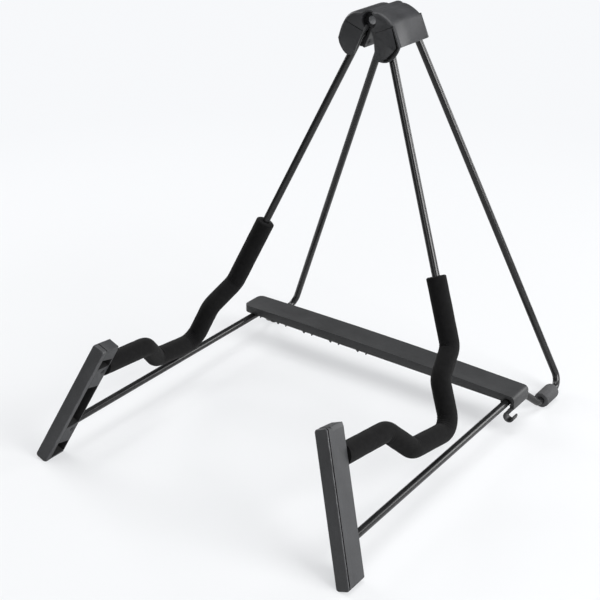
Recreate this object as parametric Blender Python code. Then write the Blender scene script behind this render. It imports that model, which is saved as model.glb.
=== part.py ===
"""Folding guitar stand: two bent-rod side frames on a moulded hinge, held apart by a notched crossbar.

Units are metres, +Z is up, the guitar faces -Y and the stand rests on Z = 0.

Each side frame is drawn flat, in the coordinates of its own plane:
    s    distance down the plane, from the line where the two planes meet
    y    towards the rear, from the middle of the hinge
    off  distance out of the plane, away from the other frame
The crossbar is drawn from the middle of its pivot, with X, Y and Z along the stand's own.
"""

import math

import bmesh
import bpy
from mathutils import Matrix, Vector

# Stance of the two frames
LEAN = math.radians(23.3)       # each frame's lean from upright
PIN_DROP = 0.0175               # hinge pin below the line where the planes meet
GAP = 0.0003                    # running or fitting gap between neighbours

# Steel rod of the side frames
ROD_D = 0.007
ROD_SIDES = 12
BEND_STEP = math.radians(15)    # turn of one facet of a bend
FRONT_LEG_SLOPE = -0.2108       # forward travel per unit down the plane
REAR_LEG_SLOPE = 0.1472
FRONT_LEG_Y = -0.0125           # front leg's line where it would meet s = 0
REAR_LEG_Y = 0.01806
HINGE_RUN_S = 0.032             # run held inside the hinge
HINGE_BEND = 0.009
LOWER_RUN_S = 0.3848            # run under the crossbar
STEP_DOWN = 0.0232              # from there down to the run through the rear foot
FLOOR_BEND = 0.0115
STEP_START_Y = 0.031            # where the floor run turns up to the lower run
STEP_END_Y = 0.0065
STEP_BEND = 0.010
LEG_FOOT_S = 0.3058             # bottom of the straight front leg
ARM_BEND = 0.014
CRADLE_BACK = (0.3246, -0.1061)
CRADLE_LOW = (0.3676, -0.1148)
CRADLE_LOW_BEND = 0.016
CRADLE_FRONT = (0.3587, -0.1734)
ARM_HUMP = (0.3310, -0.1980)
ARM_SLOPE = 0.125               # rise of the arm per unit forward, past the hump

# Foam sleeves
FOAM_D = 0.0182
FOAM_SIDES = 16
RIGHT_FOAM_TOP_S = 0.2437
LEFT_FOAM_TOP_S = 0.2345
FOAM_END_RUN = 0.004            # straight tube before each end

# Foot bars, drawn from the top of the front face: t down the bar, v towards the rear
BAR_TOP = (0.298, -0.272)
BAR_RAKE = math.radians(17.5)   # forward rake within the frame's plane
BAR_DEPTH = 0.0213
BAR_WIDTH = 0.0126
BAR_TOP_RISE = 0.0032           # how far the rear of the top end stands above its front
BAR_EDGE = 0.0008
FLOOR_CUT = 0.0010              # how far the lowest edge is cut back to a flat
STRIP_DEPTH = 0.0045
STRIP_CORNER = 0.0025
STRIP_OVERHANG = 0.0004
ARM_END_V = 0.0091              # where the arm's rod ends
LOWER_END_V = 0.0079            # where the lower run's rod ends
POCKET_WALL = 0.0018
BOSS_WALL = 0.0019              # wall between a rod's socket and a pocket
POCKET_REST = 0.0022            # outer wall left behind the pockets
TOP_POCKET_T = 0.0070
LONG_POCKET_T = 0.0375
BOTTOM_POCKET_DROP = 0.0119785  # from the lower rod's end to the bottom pocket
BOTTOM_WALL = 0.0032
PEG_D = 0.0030
PEG_LENGTH = 0.0055
UPPER_PEG_T = 0.0325
LOWER_PEG_DROP = 0.0079785      # from the lower rod's end to the lower peg
SET_SCREW_D = 0.0040
SET_SCREW_LENGTH = 0.0026
SET_SCREW_V = 0.0150
SET_SCREW_SOCKET = 0.0018

# Rear foot sleeves
SLEEVE_D = 0.0152
SLEEVE_START_Y = 0.0365
SLEEVE_LENGTH = 0.024
SLEEVE_RIBS = 6
SLEEVE_GROOVE = 0.0007
SLEEVE_SIDES = 24
SLEEVE_CUT = 0.0005             # depth of the flat that it rests on

# Hinge
PIN_D = 0.006
PIN_HEAD_D = 0.0085
PIN_HEAD_LENGTH = 0.0014
PIN_FRONT_Y = -0.0246
PIN_EDGE = 0.0004
PIN_SIDES = 20
NUT_D = 0.0092
NUT_LENGTH = 0.0015
PIN_TAIL = 0.0012               # pin past its push nut
KNUCKLE_D = 0.0152
KNUCKLE_SIDES = 24
MIDDLE_KNUCKLE_FRONT_Y = -0.0087
MIDDLE_KNUCKLE_REAR_Y = 0.0087
SHELL_REAR_Y = 0.017
SADDLE_WALL = 0.0013
SADDLE_REACH = math.radians(25) # how far the saddle passes the top of the pin
SADDLE_REAR_Y = 0.0195
SADDLE_FACETS = 5
LEFT_SADDLE_REACH = math.radians(50)
RIDGE = (0.0123, 0.0084)        # pulls the right shell's curve from saddle to crease, as (s, off)
CREASE = (0.0260, 0.0160)
SKIRT = (0.0468, 0.0155)
LEFT_RIDGE = (0.0160, 0.0163)   # pulls the left shell's curve from saddle to belly
LEFT_BELLY = (0.0308, 0.0177)
LEFT_FLANK = (0.0385, 0.0189)   # pulls its curve from belly to skirt
LEFT_SKIRT = (0.0468, 0.0164)
RIDGE_FACETS = 7
FLANK_FACETS = 4
SHELL_INNER_OFF = -0.0035
SHOULDER_S = 0.022
REAR_BLOCK_Y = 0.0305
REAR_BLOCK_OFF = 0.008
REAR_BLOCK_TOP_S = 0.024
FRONT_WALL = 0.0017
LEFT_FACE_Y = -0.0291
FACE_GAP = 0.0005               # between the two front walls, which pass each other
FACE_SEAM_S = 0.0275
SEAM_WIDTH = 0.0007
CRESCENT_DEPTH = 0.0012
CRESCENT_WIDTH = 0.0032
CRESCENT_RIM = 0.0014
LEFT_FACE_INNER_OFF = -0.0045
RIGHT_FACE_INNER = ((0.0350, -0.0082), (0.0500, -0.0128))
LEFT_CHIN = (0.0615, 0.0020)    # pulls the rounded lower edge of each front wall
RIGHT_CHIN = (0.0620, 0.0010)
LEFT_CHIN_END_S = 0.0510
SHELL_WALL = 0.0020
CAVITY_OFF = 0.0060
CAVITY_TOP_S = 0.0290
CAVITY_FRONT_Y = -0.0255
CAVITY_REAR_Y = 0.0150
CAVITY_RIB_Y = -0.0040
CAVITY_RIB = 0.0020
COVER_OFF = -0.0065             # cover's face towards the other frame
COVER_FRONT_Y = -0.0175
COVER_REAR_Y = 0.0165
COVER_FOOT_S = 0.0465
SCREW_S = 0.0410
FRONT_SCREW_Y = -0.0135
REAR_SCREW_Y = 0.0110
SCREW_HEAD_D = 0.0050
SCREW_HEAD_LENGTH = 0.0014
SCREW_D = 0.0026
SCREW_LENGTH = 0.0090
SCREW_SLOT = 0.0007

# Crossbar
CROSSBAR_WIDTH = 0.0291
CROSSBAR_MIDDLE_Y = -0.0070     # middle of its width at the pivot
CROSSBAR_SKEW = -0.033          # rearward travel per unit towards the right
PLATE = 0.0022
LEFT_TOP = 0.0114               # top of the bar's ends, above the rods' middle
RIGHT_TOP = 0.0078
CAMBER = 0.0020                 # rise of the top's middle over a straight line
BOW_FACETS = 10
SKIRT_HEIGHT = 0.0076
RIGHT_SKIRT_HEIGHT = 0.0072
SEAT_COUNT = 5
SEAT_PITCH = 0.0341
SEAT_HALF = 0.0046
FRONT_RIB_IN = 0.0080           # seat ribs, in from the front and rear faces
REAR_RIB_IN = 0.0108
SEAT_RIB = 0.0020
TOOTH_LENGTH = 0.0070
TOOTH_WIDTH = 0.0032
TOOTH_TIP = 0.0006
LEFT_END = 0.0108               # bar past the seat in use
RIGHT_END = 0.0085
RIGHT_END_ROUND = 0.0044
CORNER = 0.006
CLIP_WALL = 0.0024
CLIP_FACETS = 14
PIVOT_MOUTH = math.radians(-97)
PIVOT_OPENING = math.radians(100)
HOOK_DROP = 0.0047              # right end below the rod's middle
HOOK_REAR_Y = 0.0040            # where the rod turns down and the hook ends
STEP_ROOM = 0.0066              # room behind the hook, out from the pivot
ARCH_HALF = 0.0053              # arch over the pivot's rod, in the front skirt
ARCH_TOP = 0.0044
STORAGE_CLIP_AT = (0.0058, -0.0110)
STORAGE_CLIP_Y = -0.0225
STORAGE_CLIP_LENGTH = 0.0080
STORAGE_CLIP_WALL = 0.0019
STORAGE_MOUTH = math.radians(40)
STORAGE_OPENING = math.radians(80)
STORAGE_LIP = 0.0016

# Worked out from the sizes above
ROD_R = ROD_D / 2
SIN_LEAN = math.sin(LEAN)
COS_LEAN = math.cos(LEAN)
PIN_S = PIN_DROP * COS_LEAN
PIN_OFF = -PIN_DROP * SIN_LEAN
FLOOR_RUN_S = LOWER_RUN_S + STEP_DOWN
FLOOR_Z = -(FLOOR_RUN_S * COS_LEAN + SLEEVE_D / 2 - SLEEVE_CUT)
KNUCKLE_R = KNUCKLE_D / 2
CLEAR_R = KNUCKLE_R + GAP
SADDLE_R = CLEAR_R + SADDLE_WALL
BORE_R = PIN_D / 2 + GAP
RIGHT_FACE_Y = LEFT_FACE_Y - FRONT_WALL - FACE_GAP
FRONT_KNUCKLE_Y = PIN_FRONT_Y + PIN_HEAD_LENGTH + GAP
CUTTER_PAST = 0.002             # how far a cutter runs past the face that it opens

STEEL = ((0.030, 0.030, 0.032), 0.38, 0.9)
FOAM = ((0.012, 0.012, 0.012), 0.95, 0.0)
RUBBER = ((0.020, 0.020, 0.021), 0.80, 0.0)
PLASTIC = ((0.055, 0.056, 0.060), 0.55, 0.0)
PLATED = ((0.55, 0.56, 0.57), 0.30, 1.0)


def clear_scene():
    for item in list(bpy.data.objects):
        bpy.data.objects.remove(item, do_unlink=True)


def material(name, look):
    colour, roughness, metallic = look
    made = bpy.data.materials.new(name)
    made.use_nodes = True
    shader = made.node_tree.nodes["Principled BSDF"]
    shader.inputs["Base Color"].default_value = (*colour, 1.0)
    shader.inputs["Roughness"].default_value = roughness
    shader.inputs["Metallic"].default_value = metallic
    return made


def make_object(name, bm, look, parent, offset=(0, 0, 0), smooth=False):
    """Turn a finished bmesh into an object under its parent, with its normals outwards."""
    bmesh.ops.recalc_face_normals(bm, faces=bm.faces)
    mesh = bpy.data.meshes.new(name)
    bm.to_mesh(mesh)
    bm.free()
    if smooth:
        mesh.shade_smooth()
        mesh.set_sharp_from_angle(angle=math.radians(40))
    made = bpy.data.objects.new(name, mesh)
    bpy.context.scene.collection.objects.link(made)
    made.parent = parent
    made.location = offset
    if look:
        mesh.materials.append(material(name, look))
    return made


def combine(target, name, bm, operation="DIFFERENCE", mirror=False):
    """Cut a shape from the target, or join it on, as a Boolean modifier."""
    if mirror:
        flip_off(bm)
    tool = make_object(name, bm, None, target.parent, target.location)
    tool.hide_render = True
    tool.display_type = "WIRE"
    boolean = target.modifiers.new(name, "BOOLEAN")
    boolean.operation = operation
    boolean.solver = "EXACT"
    boolean.object = tool


def flip_off(bm):
    """Mirror a shape drawn for the right frame, for use on the left one."""
    for vert in bm.verts:
        vert.co.z = -vert.co.z


def add_prism(bm, outline, lift, low, high):
    """Add a closed prism: lift turns each outline point and a level into a position."""
    rings = [[bm.verts.new(lift(point, level)) for point in outline] for level in (low, high)]
    bm.faces.new(reversed(rings[0]))
    bm.faces.new(rings[1])
    count = len(outline)
    for i in range(count):
        j = (i + 1) % count
        bm.faces.new((rings[0][i], rings[0][j], rings[1][j], rings[1][i]))
    return rings


def across(point, level):
    """An (s, off) outline swept along y."""
    return (point[0], level, point[1])


def through(point, level):
    """An (s, y) outline swept out of the plane."""
    return (point[0], point[1], level)


def along_y(point, level):
    """An (x, z) outline swept along y."""
    return (point[0], level, point[1])


def prism(outline, lift, low, high):
    bm = bmesh.new()
    add_prism(bm, outline, lift, low, high)
    return bm


def box_outline(low, high):
    return [(low[0], low[1]), (high[0], low[1]), (high[0], high[1]), (low[0], high[1])]


def circle(radius, sides, centre=(0, 0), phase=0.0):
    step = 2 * math.pi / sides
    return [
        (centre[0] + radius * math.cos(phase + i * step), centre[1] + radius * math.sin(phase + i * step))
        for i in range(sides)
    ]


def circumscribed(radius, sides):
    """Corner radius of a polygon whose flats lie at the given radius."""
    return radius / math.cos(math.pi / sides)


def bezier(start, pull, end, count):
    points = []
    for i in range(count + 1):
        t = i / count
        weights = ((1 - t) ** 2, 2 * t * (1 - t), t * t)
        points.append(tuple(sum(w * p[k] for w, p in zip(weights, (start, pull, end))) for k in (0, 1)))
    return points


def filleted(corners):
    """Points along a planar route whose corners, given as (point, radius), are rounded."""
    points = [Vector(corners[0][0])]
    for before, here, after in zip(corners, corners[1:], corners[2:]):
        corner = Vector(here[0])
        back = (Vector(before[0]) - corner).normalized()
        ahead = (Vector(after[0]) - corner).normalized()
        turn = math.pi - back.angle(ahead)
        reach = here[1] * math.tan(turn / 2)
        middle = corner + (back + ahead).normalized() * here[1] / math.cos(turn / 2)
        start = corner + back * reach - middle
        sense = 1.0 if back.x * ahead.y - back.y * ahead.x < 0 else -1.0
        count = max(2, math.ceil(turn / BEND_STEP))
        for i in range(count + 1):
            angle = sense * turn * i / count
            spun = Vector((
                start.x * math.cos(angle) - start.y * math.sin(angle),
                start.x * math.sin(angle) + start.y * math.cos(angle),
            ))
            points.append(middle + spun)
    points.append(Vector(corners[-1][0]))
    return points


def sweep_rings(bm, route, profile, end_plane=None):
    """Rings of a planar sweep, mitred at each point; the last ring may lie on a slanted plane."""
    rings = []
    for i, point in enumerate(route):
        steps = []
        if i > 0:
            steps.append((point - route[i - 1]).normalized())
        if i < len(route) - 1:
            steps.append((route[i + 1] - point).normalized())
        sides = [Vector((-step.y, step.x)) for step in steps]
        mitre = sum(sides, Vector((0, 0))).normalized()
        mitre /= mitre.dot(sides[0])
        places = [point + mitre * lateral for lateral, _ in profile]
        if end_plane and i == len(route) - 1:
            origin, normal = end_plane
            places = [p + steps[0] * (origin - p).dot(normal) / steps[0].dot(normal) for p in places]
        rings.append([bm.verts.new((p.x, p.y, off)) for p, (_, off) in zip(places, profile)])
    count = len(profile)
    for near, far in zip(rings, rings[1:]):
        for i in range(count):
            j = (i + 1) % count
            bm.faces.new((near[i], near[j], far[j], far[i]))
    return rings


def sweep(route, profile):
    """A solid swept along a planar route."""
    bm = bmesh.new()
    rings = sweep_rings(bm, route, profile)
    bm.faces.new(rings[0])
    bm.faces.new(rings[-1])
    return bm


def tube(route, outer, inner, end_plane=None):
    """A hollow tube along a planar route, open at both ends."""
    bm = bmesh.new()
    outside = sweep_rings(bm, route, outer, end_plane)
    inside = sweep_rings(bm, route, inner, end_plane)
    count = len(outer)
    for shell, bore in ((outside[0], inside[0]), (outside[-1], inside[-1])):
        for i in range(count):
            j = (i + 1) % count
            bm.faces.new((shell[i], shell[j], bore[j], bore[i]))
    return bm


# Foot bar coordinates
def bar_point(t, v):
    """A place on the foot bar, as (s, y)."""
    s = BAR_TOP[0] + t * math.cos(BAR_RAKE) + v * math.sin(BAR_RAKE)
    y = BAR_TOP[1] - t * math.sin(BAR_RAKE) + v * math.cos(BAR_RAKE)
    return (s, y)


def bar_t(s, v):
    """How far down the bar the given s lies, at depth v."""
    return (s - BAR_TOP[0] - v * math.sin(BAR_RAKE)) / math.cos(BAR_RAKE)


def bar_floor_s():
    """s of the bar's bottom end, which is cut square to the frame's plane and level in y."""
    return (FLOOR_CUT - FLOOR_Z - BAR_WIDTH / 2 * SIN_LEAN) / COS_LEAN


def arm_end():
    """Where the arm's rod ends inside the foot bar."""
    run = Vector((-ARM_SLOPE, -1.0))
    start = Vector(ARM_HUMP)
    face = Vector(bar_point(0, ARM_END_V))
    normal = Vector((math.sin(BAR_RAKE), math.cos(BAR_RAKE)))
    return start + run * (face - start).dot(normal) / run.dot(normal)


def lower_end_t():
    return bar_t(LOWER_RUN_S, LOWER_END_V)


def lower_end():
    """Where the lower run's rod ends inside the foot bar."""
    return Vector(bar_point(lower_end_t(), LOWER_END_V))


def arm_corners():
    """The front half of the rod, from the hinge down to the foot bar."""
    return [
        ((HINGE_RUN_S, FRONT_LEG_Y + FRONT_LEG_SLOPE * HINGE_RUN_S), HINGE_BEND),
        ((LEG_FOOT_S, FRONT_LEG_Y + FRONT_LEG_SLOPE * LEG_FOOT_S), ARM_BEND),
        (CRADLE_BACK, ARM_BEND),
        (CRADLE_LOW, CRADLE_LOW_BEND),
        (CRADLE_FRONT, ARM_BEND),
        (ARM_HUMP, ARM_BEND),
        (tuple(arm_end()), 0.0),
    ]


def floor_corners():
    """The rear half of the rod, from the hinge down, along the floor and forward."""
    return [
        ((HINGE_RUN_S, REAR_LEG_Y + REAR_LEG_SLOPE * HINGE_RUN_S), HINGE_BEND),
        ((FLOOR_RUN_S, REAR_LEG_Y + REAR_LEG_SLOPE * FLOOR_RUN_S), FLOOR_BEND),
        ((FLOOR_RUN_S, STEP_START_Y), STEP_BEND),
        ((LOWER_RUN_S, STEP_END_Y), STEP_BEND),
        (tuple(lower_end()), 0.0),
    ]


def rod_route():
    return filleted(list(reversed(arm_corners())) + floor_corners())


def foam_route(side):
    """The rod's route from the foam's top to the foot bar, and the plane it ends on."""
    top_s = RIGHT_FOAM_TOP_S if side == "right" else LEFT_FOAM_TOP_S
    top = (top_s, FRONT_LEG_Y + FRONT_LEG_SLOPE * top_s)
    corners = [(top, 0.0)] + arm_corners()[1:]
    points = filleted(corners)
    normal = Vector((math.sin(BAR_RAKE), math.cos(BAR_RAKE)))
    face = Vector(bar_point(0, BAR_DEPTH)) + normal * GAP
    points[-1] = points[-2] + (points[-1] - points[-2]) * (
        (face - points[-2]).dot(normal) / (points[-1] - points[-2]).dot(normal)
    )
    return points, (face, normal)


# Hinge coordinates
def around_pin(radius, angle):
    """A place round the pin, as (s, off); the angle runs from straight up to the frame's own side."""
    turn = angle + LEAN
    return (PIN_S - radius * math.cos(turn), PIN_OFF + radius * math.sin(turn))


def saddle_angles():
    return [-SADDLE_REACH * (1 - 2 * i / SADDLE_FACETS) for i in range(SADDLE_FACETS + 1)]


def right_section():
    saddle_end = around_pin(SADDLE_R + GAP, SADDLE_REACH + GAP / SADDLE_R)
    return [
        (PIN_S, PIN_OFF + GAP),
        *bezier(saddle_end, RIDGE, CREASE, RIDGE_FACETS),
        SKIRT,
        (SKIRT[0], SHELL_INNER_OFF),
        (SHOULDER_S, SHELL_INNER_OFF),
        (SHOULDER_S, PIN_OFF + GAP),
    ]


def left_section():
    saddle = [around_pin(SADDLE_R, angle) for angle in saddle_angles()]
    turn = LEFT_SADDLE_REACH - SADDLE_REACH
    shoulder = [around_pin(SADDLE_R, SADDLE_REACH + turn * i / 3) for i in (1, 2)]
    ridge = bezier(around_pin(SADDLE_R, LEFT_SADDLE_REACH), LEFT_RIDGE, LEFT_BELLY, RIDGE_FACETS)
    flank = bezier(LEFT_BELLY, LEFT_FLANK, LEFT_SKIRT, FLANK_FACETS)[1:]
    inside = [(LEFT_SKIRT[0], SHELL_INNER_OFF)] + right_section()[-2:]
    return [(PIN_S, PIN_OFF + GAP)] + saddle + shoulder + ridge + flank + inside


def chin(side):
    """The rounded lower edge of a front wall, from the outer skirt to the inner edge."""
    if side == "right":
        return bezier(SKIRT, RIGHT_CHIN, RIGHT_FACE_INNER[1], 8)
    return bezier(LEFT_SKIRT, LEFT_CHIN, (LEFT_CHIN_END_S, LEFT_FACE_INNER_OFF), 8)


def face_outline(side):
    if side == "right":
        return right_section()[:-4] + chin(side) + [RIGHT_FACE_INNER[0], (SHOULDER_S, PIN_OFF + GAP)]
    inner = [(SHOULDER_S, LEFT_FACE_INNER_OFF), (SHOULDER_S, PIN_OFF + GAP)]
    return left_section()[:-4] + chin(side) + inner


def crescent():
    """The dark recess between the right front wall and its rim, widest half-way round."""
    edge = [CREASE] + chin("right")[:-2]
    count = len(edge) - 1
    middle = (SKIRT[0] * 0.9, 0.0)
    rim = []
    plate = []
    for i, point in enumerate(edge):
        inward = (Vector(middle) - Vector(point)).normalized()
        width = CRESCENT_WIDTH * math.sin(math.pi * (0.12 + 0.8 * i / count))
        rim.append(tuple(Vector(point) + inward * CRESCENT_RIM))
        plate.append(tuple(Vector(point) + inward * (CRESCENT_RIM + width)))
    return rim + list(reversed(plate))


def pin_offset(side):
    """Offset that puts the hinge pin's place in the frame's drawing on its empty."""
    sign = 1 if side == "right" else -1
    return (-PIN_S, 0, -sign * PIN_OFF)


def build_wire(side, frame):
    route = rod_route()
    bm = sweep(route, circle(ROD_R, ROD_SIDES))
    side_piece(f"{side}_side_wire", bm, STEEL, side, frame, smooth=True)


def side_piece(name, bm, look, side, frame, smooth=False):
    if side == "left":
        flip_off(bm)
    return make_object(name, bm, look, frame, pin_offset(side), smooth)


def build_foam(side, frame):
    route, plane = foam_route(side)
    lead = (route[1] - route[0]).normalized()
    route.insert(1, route[0] + lead * FOAM_END_RUN)
    bore = circumscribed(ROD_R + GAP, FOAM_SIDES)
    bm = tube(route, circle(FOAM_D / 2, FOAM_SIDES), circle(bore, FOAM_SIDES), plane)
    side_piece(f"{side}_foam_sleeve", bm, FOAM, side, frame, smooth=True)


def build_rear_foot(side, frame):
    """A rubber sleeve with ribs round it, cut flat where it stands."""
    pitch = SLEEVE_LENGTH / SLEEVE_RIBS
    stations = []
    for i in range(SLEEVE_RIBS):
        start = SLEEVE_START_Y + i * pitch
        stations += [(start + pitch * 0.02, 1), (start + pitch * 0.70, 1)]
        if i < SLEEVE_RIBS - 1:
            stations += [(start + pitch * 0.76, 0), (start + pitch * 0.96, 0)]
    bm = bmesh.new()
    outer = []
    inner = []
    bore = circumscribed(ROD_R + GAP, SLEEVE_SIDES)
    for y, full in stations:
        radius = SLEEVE_D / 2 - (0 if full else SLEEVE_GROOVE)
        outer.append([bm.verts.new((s, y, off)) for s, off in circle(radius, SLEEVE_SIDES, (FLOOR_RUN_S, 0))])
    for y in (stations[0][0], stations[-1][0]):
        inner.append([bm.verts.new((s, y, off)) for s, off in circle(bore, SLEEVE_SIDES, (FLOOR_RUN_S, 0))])
    pairs = list(zip(outer, outer[1:])) + [(inner[0], inner[1]), (outer[0], inner[0]), (outer[-1], inner[1])]
    for near, far in pairs:
        for i in range(SLEEVE_SIDES):
            j = (i + 1) % SLEEVE_SIDES
            bm.faces.new((near[i], near[j], far[j], far[i]))
    foot = side_piece(f"{side}_rear_foot", bm, RUBBER, side, frame, smooth=True)
    combine(foot, f"{side}_rear_foot_floor", floor_cutter(SLEEVE_START_Y - CUTTER_PAST), mirror=side == "left")


def floor_cutter(front_y):
    """Everything below the floor, drawn in the right frame's coordinates."""
    down = Vector((COS_LEAN, -SIN_LEAN))
    level = Vector((SIN_LEAN, COS_LEAN))
    touch = down * -FLOOR_Z
    reach = 0.5
    depth = 0.05
    outline = [
        tuple(touch + level * reach),
        tuple(touch - level * 0.02),
        tuple(touch - level * 0.02 + down * depth),
        tuple(touch + level * reach + down * depth),
    ]
    return prism(outline, across, front_y, SLEEVE_START_Y + SLEEVE_LENGTH + CUTTER_PAST)


def bar_outline(front_v, rear_v, overhang=0.0):
    floor_s = bar_floor_s() + overhang
    rise = BAR_TOP_RISE / BAR_DEPTH
    return [
        bar_point(-rise * front_v, front_v),
        bar_point(-rise * rear_v, rear_v),
        bar_point(bar_t(floor_s, rear_v), rear_v),
        bar_point(bar_t(floor_s, front_v), front_v),
    ]


def rod_t(end, slope, v, end_v):
    """Where a rod's middle lies down the bar, at depth v, from where it ends."""
    return bar_t(end.x, end_v) + slope * (v - end_v)


def pocket_outlines():
    """The three pockets between the strip and the rear wall, clear of both rods' sockets."""
    front = STRIP_DEPTH - CUTTER_PAST
    rear = BAR_DEPTH - POCKET_WALL
    arm_turn = BAR_RAKE - math.atan(ARM_SLOPE)
    arm_lean = -math.tan(arm_turn)
    low_lean = -math.tan(BAR_RAKE)
    arm_room = (ROD_R + GAP + BOSS_WALL) / math.cos(arm_turn)
    low_room = (ROD_R + GAP + BOSS_WALL) / math.cos(BAR_RAKE)
    spans = [
        (lambda v: TOP_POCKET_T, lambda v: rod_t(arm_end(), arm_lean, v, ARM_END_V) - arm_room),
        (lambda v: LONG_POCKET_T, lambda v: rod_t(lower_end(), low_lean, v, LOWER_END_V) - low_room),
        (lambda v: lower_end_t() + BOTTOM_POCKET_DROP, lambda v: bar_t(bar_floor_s(), v) - BOTTOM_WALL),
    ]
    return [
        [bar_point(end(v), v) for end, v in ((top, front), (top, rear), (low, rear), (low, front))]
        for top, low in spans
    ]


def socket(end, toward):
    """A rod's socket, from just past the rod's end to beyond the bar's rear face."""
    direction = (toward - end).normalized()
    route = [end - direction * GAP, end + direction * (BAR_DEPTH + CUTTER_PAST)]
    return sweep(route, circle(circumscribed(ROD_R + GAP, ROD_SIDES), ROD_SIDES))


def set_screw_places():
    """Both set screws, each over its rod's middle."""
    arm_lean = -math.tan(BAR_RAKE - math.atan(ARM_SLOPE))
    low_lean = -math.tan(BAR_RAKE)
    return [
        bar_point(rod_t(arm_end(), arm_lean, SET_SCREW_V, ARM_END_V), SET_SCREW_V),
        bar_point(rod_t(lower_end(), low_lean, SET_SCREW_V, LOWER_END_V), SET_SCREW_V),
    ]


def peg_bm(length, radius, start):
    """The strip's pegs, or the holes for them, running back into the bar's bosses."""
    bm = bmesh.new()
    axis = Vector((math.sin(BAR_RAKE), math.cos(BAR_RAKE)))
    for t in (UPPER_PEG_T, lower_end_t() + LOWER_PEG_DROP):
        root = Vector(bar_point(t, start))
        rings = sweep_rings(bm, [root, root + axis * length], circle(radius, 10))
        bm.faces.new(rings[0])
        bm.faces.new(rings[-1])
    return bm


def build_foot_bar(side, frame):
    mirror = side == "left"
    half = BAR_WIDTH / 2
    bm = prism(bar_outline(STRIP_DEPTH + GAP, BAR_DEPTH), through, -half, half)
    bar = side_piece(f"{side}_foot_bar", bm, PLASTIC, side, frame)
    edges = bar.modifiers.new("edges", "BEVEL")
    edges.width = BAR_EDGE
    edges.segments = 1
    edges.limit_method = "ANGLE"
    pockets = bmesh.new()
    for outline in pocket_outlines():
        add_prism(pockets, outline, through, -half - CUTTER_PAST, half - POCKET_REST)
    combine(bar, f"{side}_bar_pockets", pockets, mirror=mirror)
    combine(bar, f"{side}_arm_socket", socket(arm_end(), Vector(ARM_HUMP)), mirror=mirror)
    lower = lower_end()
    combine(bar, f"{side}_lower_socket", socket(lower, lower + Vector((0, 1))), mirror=mirror)
    holes = peg_bm(PEG_LENGTH + GAP + CUTTER_PAST, PEG_D / 2 + GAP, STRIP_DEPTH - CUTTER_PAST)
    combine(bar, f"{side}_peg_holes", holes, mirror=mirror)
    screw_holes = bmesh.new()
    for place in set_screw_places():
        ring = circle(circumscribed(SET_SCREW_D / 2 + GAP, 16), 16, place)
        add_prism(screw_holes, ring, through, -half - CUTTER_PAST, 0)
    combine(bar, f"{side}_set_screw_holes", screw_holes, mirror=mirror)
    combine(bar, f"{side}_bar_floor", floor_cutter(BAR_TOP[1] * 1.3), mirror=mirror)


def build_foot_strip(side, frame):
    mirror = side == "left"
    half = BAR_WIDTH / 2 + STRIP_OVERHANG
    bm = prism(bar_outline(0, STRIP_DEPTH, STRIP_OVERHANG), through, -half, half)
    front = [edge for edge in bm.edges if on_strip_front(edge)]
    bmesh.ops.bevel(bm, geom=front, offset=STRIP_CORNER / 2, segments=2, affect="EDGES", profile=0.5)
    strip = side_piece(f"{side}_foot_strip", bm, PLASTIC, side, frame)
    pegs = peg_bm(PEG_LENGTH + CUTTER_PAST / 2, PEG_D / 2, STRIP_DEPTH - CUTTER_PAST / 2)
    combine(strip, f"{side}_pegs", pegs, "UNION", mirror)
    combine(strip, f"{side}_strip_floor", floor_cutter(BAR_TOP[1] * 1.3), mirror=mirror)


def on_strip_front(edge):
    """Whether an edge bounds the strip's front face."""
    normal = Vector((math.sin(BAR_RAKE), math.cos(BAR_RAKE)))
    depths = [(Vector(vert.co.xy) - Vector(BAR_TOP)).dot(normal) for vert in edge.verts]
    return max(depths) < STRIP_DEPTH / 2


def build_set_screws(side, frame):
    half = BAR_WIDTH / 2
    for level, place in zip(("upper", "lower"), set_screw_places()):
        ring = circle(SET_SCREW_D / 2, 16, place)
        bm = prism(ring, through, -ROD_R - GAP - SET_SCREW_LENGTH, -ROD_R - GAP)
        screw = side_piece(f"{side}_foot_screw_{level}", bm, STEEL, side, frame, smooth=True)
        hexagon = circle(SET_SCREW_SOCKET / 2, 6, place)
        socket_bm = prism(hexagon, through, -half - CUTTER_PAST, -ROD_R - GAP - SET_SCREW_LENGTH / 2)
        combine(screw, f"{side}_{level}_key_socket", socket_bm, mirror=side == "left")


def channel():
    """Room for the rod inside the hinge, open towards the other frame."""
    front, rear = arm_corners()[:2], floor_corners()[:2]
    below = 0.070
    front_foot = (below, FRONT_LEG_Y + FRONT_LEG_SLOPE * below)
    rear_foot = (below, REAR_LEG_Y + REAR_LEG_SLOPE * below)
    route = filleted([(front_foot, 0), front[0], rear[0], (rear_foot, 0)])
    radius = circumscribed(ROD_R + GAP, ROD_SIDES)
    arch = [point for point in circle(radius, ROD_SIDES) if point[1] > -GAP]
    mouth = COVER_OFF - CUTTER_PAST
    return sweep(route, arch + [(-radius, mouth), (radius, mouth)])


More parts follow.
